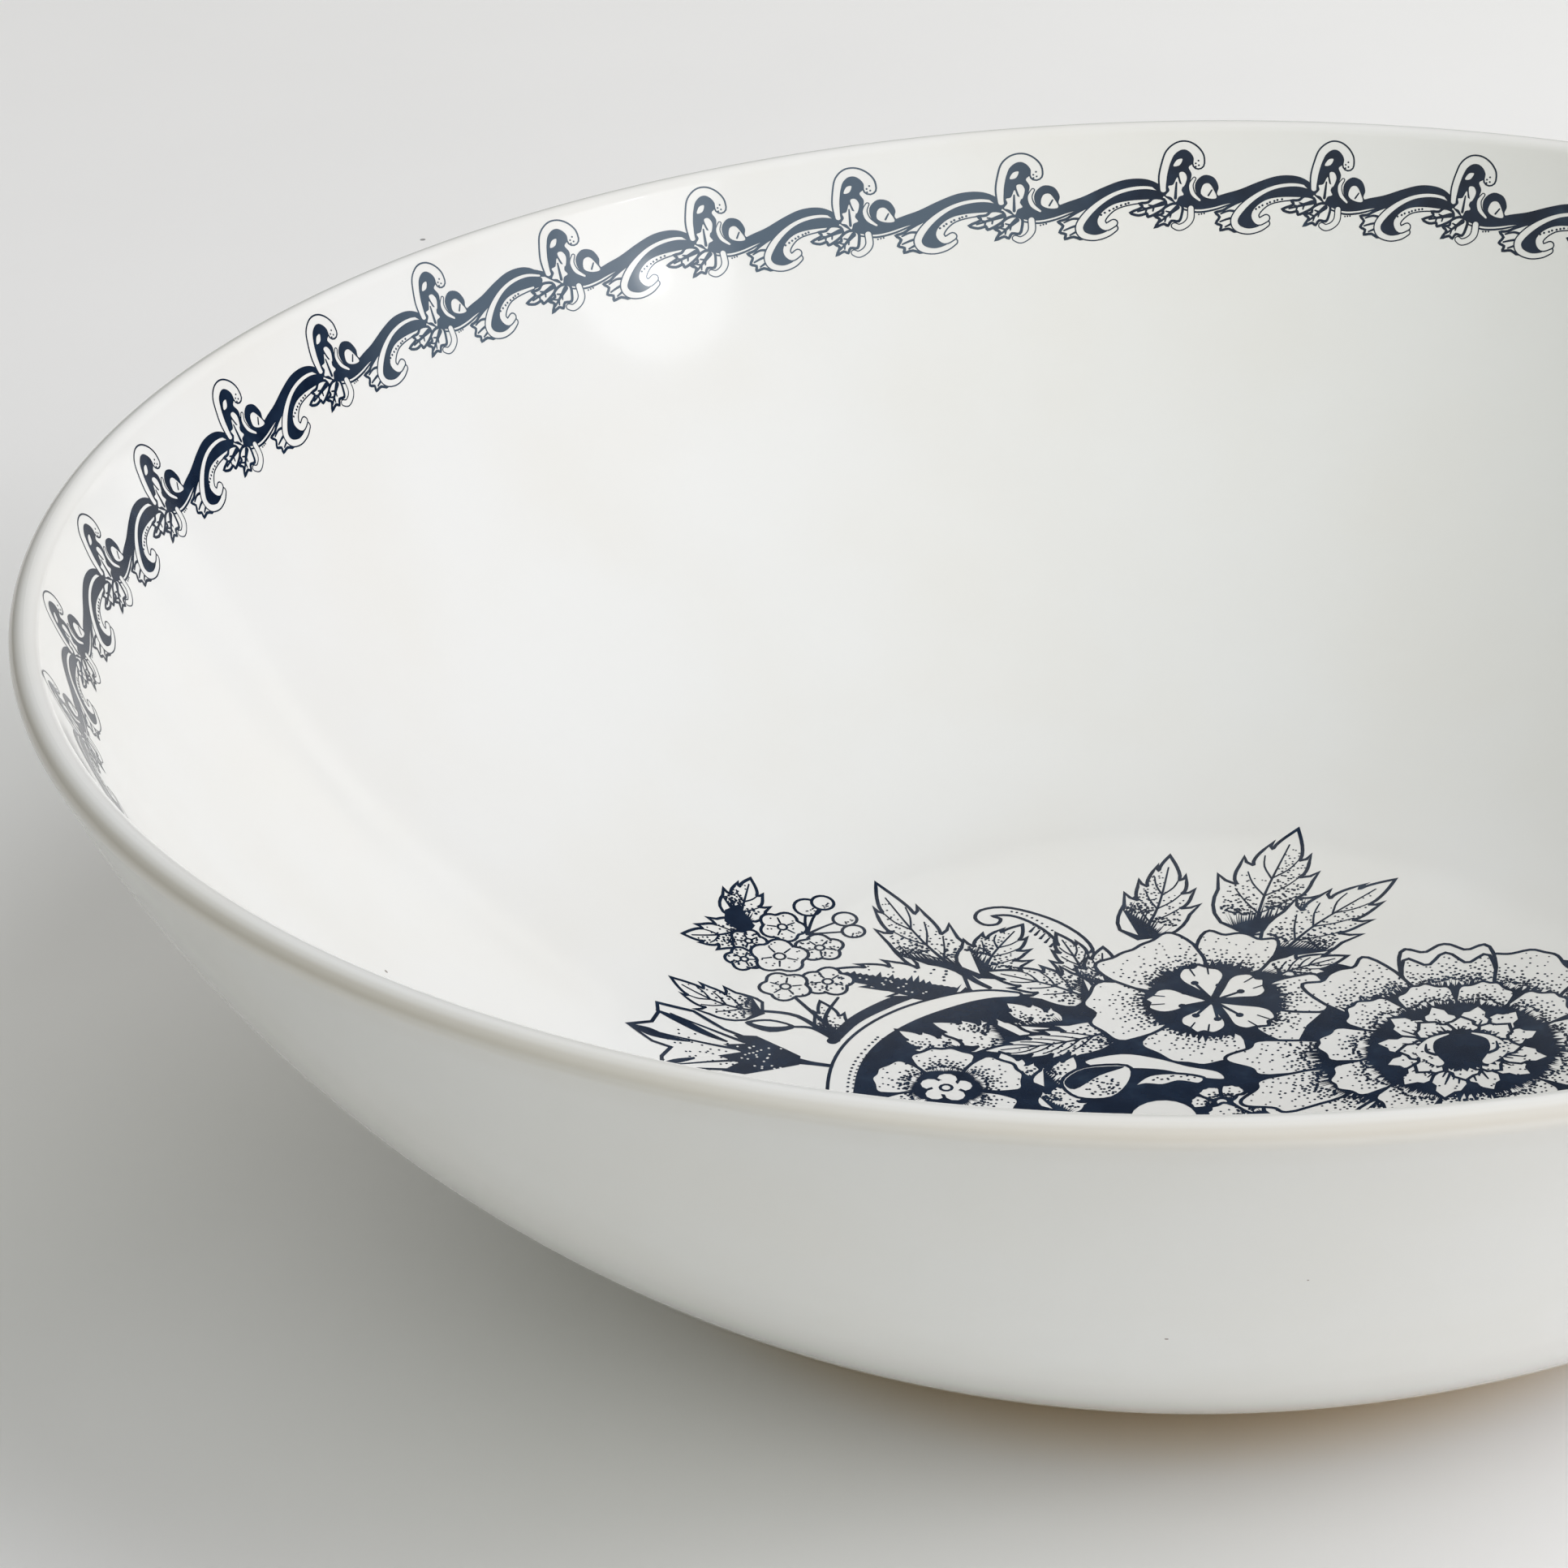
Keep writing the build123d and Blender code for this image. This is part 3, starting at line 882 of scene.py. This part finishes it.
def upper_leaves(sheet):
    """Leaves along the back of the posy."""
    leaf(sheet, (-6, 35.5), (-1.9, 57.2), 9.6, 3, -0.04, 0.34)
    leaf(sheet, (9.6, 36.5), (16.6, 63.4), 13.6, 3, 0.03, 0.3, dark_side=-1)
    leaf(sheet, (12.6, 30.4), (30, 50), 11.4, 3, 0.05, 0.26, dark_side=-1)
    leaf(sheet, (-29.8, 24.4), (-43.8, 47.6), 9.6, 2, 0.04, 0.36)
    sheet.brush([(-30.6, 26, 1.0), (-28.6, 23.6, 0.8), (-26.6, 22, 0.6)])
    # Curled leaf with a dotted spine.
    curl = [(-12.6, 31.4), (-13.8, 35.4), (-17.4, 39.4), (-21.8, 42), (-25.6, 43), (-28.6, 42), (-29.3, 39.9),
            (-28.0, 38.3), (-26.2, 38.5), (-25.7, 39.9), (-26.8, 40.6), (-24.4, 40.9), (-21.6, 39.4),
            (-18.8, 36.4), (-16.6, 32.2), (-15.4, 28)]
    sheet.pad(curl, 0.42, 3)
    for k in range(15):
        t = k / 14
        x, y = -14.0 - 10.2 * t, 30.8 + 11.2 * math.sin(t * 1.45)
        sheet.dot(x, y, 0.17)
        if k < 9:
            sheet.dot(x - 1.0 - 0.3 * t, y - 0.5, 0.15)
            sheet.brush([(x - 1.6, y - 2.2, 0.36), (x - 1.0, y - 0.9, 0.1)], steps=1)
    leaf(sheet, (-27.8, 24.6), (-22.6, 38.6), 9.4, 3, 0.06, 0.42, dark_side=1)
    leaf(sheet, (-13.4, 23.4), (-17.8, 36.6), 6.4, 3, -0.05, 0.3, dark_side=-1)
    leaf(sheet, (-10, 22), (-11.2, 33.2), 7.4, 2, 0.05, 0.4)
    leaf(sheet, (-12.4, 19.6), (-27.4, 26.2), 8.2, 3, -0.06, 0.24, dark_side=-1)


def left_cluster(sheet):
    """Berries, florets, a bellflower and their leaves at the left end."""
    leaf(sheet, (-62.4, 34), (-61.7, 43.4), 6.6, 2, 0, 0.42, 0.38, veins=2)
    leaf(sheet, (-61.4, 32.6), (-69.9, 27.6), 6.2, 2, 0.08, 0.3, 0.38, veins=2)
    sheet.fill([(-64.6, 35.4), (-62.6, 37.6), (-61.2, 35), (-60, 33.6), (-60.8, 31.4), (-62.8, 32),
                (-64.4, 33)], True)
    leaf(sheet, (-57.2, 12.6), (-70.4, 17.2), 7.0, 2, 0.06, 0.22, 0.36, dark_side=-1)
    leaf(sheet, (-47.4, 8.4), (-49.6, 16.4), 4.4, 1, -0.05, 0.3, 0.36, veins=0)
    sheet.blob([(-59.4, 9.6), (-56, 10.9), (-52.4, 9.4), (-55.8, 7.6)], True)
    sheet.blob([(-58.4, 9.7), (-56, 10.4), (-53.4, 9.6), (-56, 9.0)], False)
    bellflower(sheet)
    for knots in (
        [(-57.4, 12.9, 0.5), (-52.4, 12.2, 0.6), (-47.4, 7.4, 0.9)],
        [(-52.6, 9.4, 0.4), (-50, 9.3, 0.5), (-46.6, 6.6, 0.8)],
        [(-53.4, 17.4, 0.4), (-50.6, 13.6, 0.5), (-46.8, 8.6, 0.7)],
        [(-47.2, 17.6, 0.3), (-48.6, 12, 0.5), (-46.6, 7.4, 0.7)],
        [(-47.2, 6.4, 1.5), (-44.6, 12, 1.7), (-40.6, 16.6, 1.9), (-37, 19.6, 1.7)],
    ):
        sheet.brush(knots)
    # Broad leaf lying across the top of the ribbon, its lower half in shade.
    lying = leaf(sheet, (-29.4, 21.6), (-49.6, 24.4), 9.0, 3, -0.03, 0, veins=0)
    under = [lying(a / 12, 0.95) for a in range(1, 12)]
    under += [lying(0.95 - a / 46, 0.1 - 0.42 * (a % 2) * rng.random()) for a in range(1, 42)]
    sheet.fill(under, True)
    sheet.stipple(lying, 0.2, 0.9, -0.8, 0.0, 6, 3)
    for _ in range(14):
        a, b = rng.uniform(0.15, 0.8), rng.uniform(0.25, 0.75)
        sheet.dot(*lying(a, b), 0.2, False, 5)
    for x, y, r in ((-53.1, 39.8, 1.9), (-51.0, 41.4, 1.6), (-47.6, 38.0, 1.7), (-46.2, 35.0, 1.6)):
        berry(sheet, x, y, r, (-52.6, 33.4), -0.8)
    for x, y, r, turn, shaded in (
        (-60.6, 29.8, 2.6, 0.2, True), (-60.8, 25.4, 2.7, 0.8, True), (-50.6, 30.2, 3.4, 0.5, True),
        (-56.2, 34.4, 3.4, 0.1, False), (-48.9, 21.6, 3.6, 0.3, True), (-54.6, 19.6, 3.6, 0.9, False),
        (-56.0, 27.2, 4.1, 0.4, False),
    ):
        floret(sheet, x, y, r, turn, shaded)


def inner_leaves(sheet):
    """Ribbon scroll and the leaves it holds."""
    ribbon = [(-44.2, -16, 2.6), (-45.2, -6, 3.2), (-44.6, 2, 3.4), (-42, 8.6, 3.4), (-37.4, 14.2, 3.2),
              (-31.4, 18.4, 2.6), (-26.8, 20.2, 1.8), (-22.8, 20.4, 0.8)]
    sheet.band(ribbon, 0.5)
    for x, y, _ in smooth([(-43.6, -14, 0), (-44.4, -5, 0), (-43.8, 1.6, 0), (-41.2, 8, 0)], 7):
        sheet.dot(x, y, 0.18)
        sheet.dot(x + 0.7, y - 0.3, 0.13)
    leaf(sheet, (-20.4, 8.6), (-34.4, 12.6), 8.6, 3, 0.06, 0.5, dark_side=-1, veins=0)
    leaf(sheet, (-17.2, 12), (-24.4, 18.4), 6.6, 2, 0, 0.45, veins=0)
    leaf(sheet, (-30, 5.2), (-38.8, 10.2), 5.6, 2, 0.04, 0.4, veins=0)
    leaf(sheet, (-8.6, 12.2), (-27.2, 5.6), 7.8, 4, 0.05, 0.12, veins=5)


def small_flowers(sheet):
    """Five-petalled flower low on the left, and the tufts beside it."""
    leaf(sheet, (-20.6, -1.6), (-24.6, 5.6), 6.4, 2, 0.05, 0.4, veins=0)
    leaf(sheet, (-18.4, -3.6), (-14.6, 5.2), 6.2, 2, -0.05, 0.5, veins=0)
    leaf(sheet, (-16.6, -9.4), (-14.2, -1.4), 6.6, 2, 0.04, 0.4, veins=0)
    x, y = -31.4, -4
    for k, turn in enumerate((96, 30, 164, 318, 232)):
        reach = 10.4 + 0.8 * (k % 2)
        petal(sheet, (x, y), math.radians(turn), 0.6, 1.6, reach, notch=0.1, shade=0.36, rows=4)
    for k in range(5):
        sheet.disc(*polar(x, y, 2.2, 0.3 + k * math.pi / 2.5), 1.6, 0.36, 10)
    sheet.fill([polar(x, y, 2, k) for k in range(6)], False)
    sheet.disc(x, y, 0.8, 0.3, 10)
    strap = [(-13.4, 3.8), (-8.4, 6.0), (-3.6, 5.0), (0.6, 3.0), (4.6, 1.6), (5.4, -0.6), (1.4, 0.0),
             (-2.6, 1.6), (-6.8, 2.0), (-10.4, 1.6)]
    sheet.pad(strap)
    sheet.pad([(-16.2, -1.6), (-13.4, 2.2), (-7.6, 2.9), (-7.0, -0.8), (-9.4, -5.2), (-14.0, -5.4)])
    sheet.blob([(-15.8, -1.4), (-13.2, 1.9), (-7.9, 2.6), (-11.2, 0.2), (-14.4, -3.4)], True)
    for _ in range(46):
        t, d = rng.uniform(0, 6.3), math.sqrt(rng.random())
        sheet.dot(-10.8 + 2.9 * d * math.cos(t), -2.2 + 2.5 * d * math.sin(t), 0.18, sides=5)
    cap = [(-6.6, -2.4), (-4.6, 0.4), (-1.0, 1.0), (2.6, 0.0), (2.0, -1.6), (-0.6, -1.0), (-2.8, -2.0),
           (-5.0, -1.8)]
    sheet.pad(cap)
    for _ in range(16):
        sheet.dot(rng.uniform(-5, 1.6), rng.uniform(-1.2, 0.4), 0.15, sides=5)
    dome = [(-2.6 + 4.6 * math.cos(k * 0.3), -10.4 + 4.8 * math.sin(k * 0.3)) for k in range(21)]
    sheet.patch(dome)
    scallop(sheet, 5.2, -6.6, 0.6, 200, -60, 5, 4.8, shade=0.3, rows=1)
    sheet.disc(5.0, -6.2, 0.9, 0.3, 10)
    scallop(sheet, 12, -12, 1.5, 175, 25, 4, 9.4, shade=0.4, rows=3)


def double_flower(sheet):
    """The open flower in the middle: ruffled outer petals behind a bare blossom."""
    x, y = 4.0, 19.6
    looks = dict(shade=0.3, rows=6, spike=0.2)
    leaf(sheet, (10.6, 24.6), (22.6, 30.6), 7.0, 2, 0.04, 0.4, dark_side=-1, veins=4)
    for turn, spread, reach, notch, lobes in (
        (-28, 0.42, 17.6, -0.12, 2), (7, 0.4, 17.2, -0.14, 2), (258, 0.62, 16.8, 0.08, 2),
        (192, 0.6, 18.4, 0.16, 2), (76, 0.46, 18.2, 0.07, 3), (130, 0.6, 18.8, 0.14, 3),
    ):
        petal(sheet, (x, y), math.radians(turn), spread, 4, reach, notch=notch, lobes=lobes, **looks)
    sheet.burst(x, y, 9.0, 9.0, 2.4)
    blossom(sheet, x, y, 9.3, math.pi)


def full_flower(sheet):
    """The many-petalled flower on the right."""
    x, y = 36.9, 5.8
    looks = dict(shade=0.32, rows=6, spike=0.2)
    sheet.fill([(x + 22 * math.cos(k * 0.25), y + 19 * math.sin(k * 0.25)) for k in range(25)], True)
    scallop(sheet, x, y, 12, 196, 344, 5, 30, notch=0.06, **looks)
    for turn, spread, root, reach, notch, lobes, fold in (
        (-2, 0.34, 12, 33, 0.06, 2, False), (28, 0.36, 12, 31, 0.06, 2, False),
        (62, 0.36, 12, 27, 0.06, 2, False), (92, 0.36, 12, 27, 0.05, 3, True),
        (128, 0.34, 12, 27.5, 0.09, 3, False), (182, 0.2, 14, 30.5, 0.02, 2, False),
        (203, 0.2, 14, 31, 0.02, 2, False),
    ):
        petal(sheet, (x, y), math.radians(turn), spread, root, reach, notch=notch, lobes=lobes, fold=fold,
              **looks)
    sheet.burst(x, y, 18.8, 16.0, 2.6)
    for k in range(11):
        t = k * math.tau / 11 + 0.15
        reach = 17 + 2.6 * abs(math.cos(t))
        petal(sheet, (x, y), t, 0.3, 7, reach, notch=0.08, shade=0.5, rows=3, line=0.36)
    sheet.burst(x, y, 12.2, 11.2, 2.2)
    rosette(sheet, x, y, 11.6, 0.3)


def lower_leaves(sheet):
    """Leaves along the front of the posy."""
    for base, tip, width, bend in (
        ((60, 4), (80, 14), 11, 0.05), ((60, -10), (79, -14), 11, -0.05),
        ((52, -24), (66, -38), 10, 0.05), ((36, -36), (45, -55), 11, 0.04),
        ((16, -42), (19, -63), 12, -0.04), ((-4, -44), (-9, -62), 10, 0.04),
        ((-22, -38), (-33, -54), 11, 0.05), ((-36, -28), (-54, -41), 10, -0.05),
        ((-42, -18), (-60, -24), 9, 0.05),
    ):
        leaf(sheet, base, tip, width, 3, bend, 0.3)


def lower_flowers(sheet):
    """Flowers of the front half."""
    looks = dict(shade=0.34, rows=6, spike=0.2)
    for x, y, r, heart in ((-26, -26, 15, 0), (6, -32, 17, 1), (42, -28, 14, 0)):
        scallop(sheet, x, y, 3, 0, 360, 6, r, notch=0.1, **looks)
        sheet.burst(x, y, r * 0.5, r * 0.5, 2.2)
        if heart:
            rosette(sheet, x, y, r * 0.6, 0.5)
        else:
            blossom(sheet, x, y, r * 0.58, 0.6)
    for x, y in ((-11, -14), (22, -18), (62, -20), (-44, -34)):
        floret(sheet, x, y, 4, 0.3, True)
    leaf(sheet, (-12, -18), (-4, -24), 6, 2, 0.05, 0.4)
    leaf(sheet, (20, -24), (28, -32), 7, 2, 0.05, 0.4)


# ---- laying the print on the glaze ----
INK_LIFT = 0.025  # mm that the ink stands off the glaze
CLOSE = 1e-4  # mm under which two drawn points are one


def on_wall(s, phi):
    """Places and normals inside the bowl, s mm along the profile from the middle."""
    tilt = np.where(
        s < S_FLOOR, s / FLOOR_R,
        np.where(s < S_BLEND, TILT_LOW + (s - S_FLOOR) / BLEND_R, TILT_HIGH + (s - S_BLEND) / INNER),
    )
    r = np.where(
        s < S_FLOOR, FLOOR_R * np.sin(tilt),
        np.where(s < S_BLEND, BLEND_X + BLEND_R * np.sin(tilt), INNER * np.sin(tilt)),
    )
    z = np.where(
        s < S_FLOOR, FLOOR_Z + FLOOR_R - FLOOR_R * np.cos(tilt),
        np.where(s < S_BLEND, BLEND_Z - BLEND_R * np.cos(tilt), WALL_Z - INNER * np.cos(tilt)),
    )
    normal = np.stack([-np.sin(tilt) * np.cos(phi), -np.sin(tilt) * np.sin(phi), np.cos(tilt)], -1)
    at = np.stack([r * np.cos(phi), r * np.sin(phi), z], -1)
    return (at + INK_LIFT * normal) * MM, normal


def inked(centres, shapes):
    """Which points lie on ink once every shape has been laid on in order."""
    order = np.argsort(centres[:, 0])
    x, y = centres[order, 0], centres[order, 1]
    state = np.zeros(len(x), bool)
    for points, ink in shapes:
        p = np.array(points)
        first, last = np.searchsorted(x, (p[:, 0].min(), p[:, 0].max()))
        rows = np.nonzero((y[first:last] > p[:, 1].min()) & (y[first:last] < p[:, 1].max()))[0] + first
        if not len(rows):
            continue
        px, py = x[rows], y[rows]
        winding = np.zeros(len(rows), int)
        for (ax, ay), (bx, by) in zip(p, np.roll(p, -1, 0)):
            side = (bx - ax) * (py - ay) - (px - ax) * (by - ay)
            winding += (ay <= py) & (by > py) & (side > 0)
            winding -= (by <= py) & (ay > py) & (side < 0)
        state[rows[winding > 0]] = ink
    result = np.zeros(len(x), bool)
    result[order] = state
    return result


def transfer(name, node, sheet, wrap, step=3.0):
    """Cuts a drawing into triangles, keeps the inked ones and wraps them on the wall."""
    verts = [Vector(p) for points, _ in sheet.shapes for p in points]
    edges, n = [], 0
    for points, _ in sheet.shapes:
        m = len(points)
        edges += [(n + i, n + (i + 1) % m) for i in range(m)]
        n += m
    xs, ys = [v.x for v in verts], [v.y for v in verts]
    x = min(xs)
    while x < max(xs):
        y = min(ys)
        while y < max(ys):
            verts.append(Vector((x + rng.uniform(-0.1, 0.1), y + rng.uniform(-0.1, 0.1))))
            y += step
        x += step
    flat, _, faces, *_ = delaunay_2d_cdt(verts, edges, [], 0, CLOSE, False)
    flat = np.array([tuple(v) for v in flat])
    faces = np.array([f for f in faces if len(f) == 3])
    faces = faces[inked(flat[faces].mean(1), sheet.shapes)]
    used, index = np.unique(faces, return_inverse=True)
    faces = index.reshape(-1, 3)
    flat = flat[used]
    at, normal = wrap(flat[:, 0], flat[:, 1])
    a, b, c = (at[faces[:, k]] for k in range(3))
    flip = (np.cross(b - a, c - a) * normal[faces[:, 0]]).sum(1) < 0
    faces[flip] = faces[flip][:, ::-1]
    mesh = bpy.data.meshes.new(name)
    mesh.from_pydata(at.tolist(), [], faces.tolist())
    for p in mesh.polygons:
        p.use_smooth = True
    sheet_uv = (flat - flat.min(0)) / np.ptp(flat, 0)
    layer = mesh.uv_layers.new(name="OFBake")
    corner = np.zeros(len(mesh.loops), int)
    mesh.loops.foreach_get("vertex_index", corner)
    layer.data.foreach_set("uv", sheet_uv[corner].astype(np.float32).ravel())
    mesh.normals_split_custom_set_from_vertices(normal.tolist())
    piece = bpy.data.objects.new(name, mesh)
    bpy.context.collection.objects.link(piece)
    place(piece, node, ink_mat)


def lay_bouquet():
    sheet = Sheet()
    bouquet(sheet)

    def wrap(u, v):
        return on_wall(np.hypot(u, v), np.arctan2(v, u))

    transfer("bouquet_transfer_look", "bouquet_transfer", sheet, wrap)


UNIT = 22.1  # drawn width of a border motif, mm
UNITS = 37
STRIPS = (("a", 9), ("b", 9), ("c", 10), ("d", 9))
# Where each crook of the strips came to lie: degrees round the rim, and mm below its true line.
CROOKS = [
    (131.1, -1.3), (120.8, -0.8), (111.1, 0.2), (100.4, 0.8), (90.1, 0.0), (80.7, -0.3), (71.9, 0.4),
]
CROOKS_LAST = [
    (198.2, -1.6), (188.7, -1.2), (178.5, -0.3), (169.1, 0.0), (159.5, 0.2), (150.0, -0.9), (140.9, -1.5),
]


def crook_places():
    """(degrees, drop) of every crook, clockwise from the joint."""
    hidden = UNITS - len(CROOKS) - len(CROOKS_LAST)
    start, end = CROOKS[-1][0], CROOKS_LAST[0][0] - 360
    pitch = (end - start) / (hidden + 1)
    between = [(start + pitch * k, 0.7 * math.sin(1.7 * k)) for k in range(1, hidden + 1)]
    last = [(a - 360, d) for a, d in CROOKS_LAST]
    return CROOKS + between + last


def lay_border():
    """Draws each strip flat, then wraps it so that every crook falls at its own place."""
    places = crook_places()
    done = 0
    for letter, count in STRIPS:
        sheet = Sheet()
        for k in range(count):
            border_unit(sheet, lambda x, y, k=k: (x + UNIT * k, -y))
        own = places[done : done + count]
        knots = [-1, *range(count), count]
        angles = [2 * own[0][0] - own[1][0]] + [a for a, _ in own] + [2 * own[-1][0] - own[-2][0]]
        drops = [own[0][1]] + [d for _, d in own] + [own[-1][1]]

        def wrap(x, y):
            phi = np.radians(np.interp(x / UNIT, knots, angles))
            return on_wall(S_WALL + y - np.interp(x / UNIT, knots, drops), phi)

        transfer(f"border_transfer_{letter}_look", f"border_transfer_{letter}", sheet, wrap)
        done += count


lay_border()
lay_bouquet()

# ---- stage ----
TABLE = (0.894, 0.894, 0.89)
# Painted warm contact shadow on the table round the bowl: its colour, its reach in mm and its fade.
CONTACT_SHADE = (0.86, 0.74, 0.55)
CONTACT_SHADE_REACH = 78.0
CONTACT_SHADE_STOPS = ((0.0, 1.0), (0.77, 1.0), (1.0, 0.0))
DUST = (0.3, 0.3, 0.3)


def table_material():
    """Matt white paper, faintly mottled, with specks of dust and a painted warm contact shadow close to the
    bowl.
    """
    m, shader, tree = node_material("paper table", TABLE, 0.75)
    tone = ramp(tree, noise(tree, 9, 4), ((0.3, TABLE), (0.7, tuple(0.985 * c for c in TABLE))), True)
    colour = blend(tree, specks(tree, 22, 0.4), tone, DUST)
    reach = span(tree, vector_calc(tree, "LENGTH", place_in(tree)), 0, CONTACT_SHADE_REACH)
    tree.links.new(blend(tree, level(tree, reach, CONTACT_SHADE_STOPS), colour, CONTACT_SHADE), shader.inputs["Base Color"])
    return m


bpy.ops.mesh.primitive_circle_add(vertices=64, radius=4, fill_type="NGON", location=(0, 0, -0.0001))
floor = bpy.context.object
floor.name = "table"
floor.data.materials.append(table_material())

world = bpy.data.worlds.new("studio")
bpy.context.scene.world = world
world.use_nodes = True


def sky(tree, lobes):
    """Studio walls: for each lobe (azimuth, elevation, colour) a soft pool of light."""
    outwards = tree.nodes.new("ShaderNodeTexCoord").outputs["Generated"]
    total = (0.0, 0.0, 0.0)
    for azimuth, elevation, colour in lobes:
        facing = vector_calc(tree, "DOT_PRODUCT", outwards, heading(azimuth, elevation))
        pool = calc(tree, "POWER", calc(tree, "MAXIMUM", facing, 0.0), 3.0)
        total = blend(tree, 1.0, total, blend(tree, pool, (0.0, 0.0, 0.0), colour), "ADD")
    tree.links.new(total, tree.nodes["Background"].inputs["Color"])


SKY = ((-110, 25, (0.79, 0.80, 0.72)), (0, 90, (0.286, 0.286, 0.295)))
sky(world.node_tree, SKY)


def lamp(name, azimuth, elevation, distance, size, power, colour, mirrored=False):
    """A round soft light aimed at the bowl; only mirrored ones show in the glaze."""
    data = bpy.data.lights.new(name, "AREA")
    data.shape = "DISK"
    data.size = size
    data.energy = power
    data.color = colour
    towards = heading(azimuth, elevation)
    o = bpy.data.objects.new(name, data)
    o.location = towards * distance
    o.rotation_euler = towards.to_track_quat("Z", "Y").to_euler()
    o.visible_camera = False
    o.visible_glossy = mirrored
    bpy.context.collection.objects.link(o)


# (azimuth, elevation, watts, colour) of the soft boxes, 0.9 m wide and 1.9 m away.
SOFT_BOXES = (
    (-20, 15, 10.0, (1.0, 0.935, 0.975)),
    (-20, 40, 11.0, (0.98, 0.955, 1.015)),
    (-20, 65, 7.8, (0.96, 0.985, 1.015)),
    (-65, 40, 3.7, (0.96, 1.01, 0.985)),
    (115, 40, 2.85, (1.0, 0.935, 1.02)),
    (70, 15, 1.7, (1.1, 1.28, 0.6)),
    (70, 40, 6.2, (1.01, 0.985, 0.965)),
)
for k, (azimuth, elevation, power, colour) in enumerate(SOFT_BOXES):
    lamp(f"soft box {k}", azimuth, elevation, 1.9, 0.9, power, colour)
lamp("glint", -22.6, 30.2, 1.63, 0.06, 0.25, (1, 1, 1), True)
lamp("veil", -23.5, 28.5, 1.65, 0.55, 1.5, (0.97, 1.0, 1.06), True)

# ---- camera ----
cam_data = bpy.data.cameras.new("camera")
cam_data.sensor_width = 36
cam_data.lens = 102.484472
cam = bpy.data.objects.new("camera", cam_data)
cam.location = (0, -0.5088, 0.3204)
pitch, yaw, roll = map(math.radians, (27.591, -5.767, -2.811))
ahead = Vector((math.sin(yaw) * math.cos(pitch), math.cos(yaw) * math.cos(pitch), -math.sin(pitch)))
side = Vector((math.cos(yaw), -math.sin(yaw), 0))
up = side.cross(ahead)
side, up = (
    math.cos(roll) * side + math.sin(roll) * up,
    -math.sin(roll) * side + math.cos(roll) * up,
)
turn = Matrix((side, up, -ahead)).transposed()
cam.rotation_euler = turn.to_euler()
bpy.context.collection.objects.link(cam)
bpy.context.scene.camera = cam
bpy.context.scene.view_settings.view_transform = "Standard"
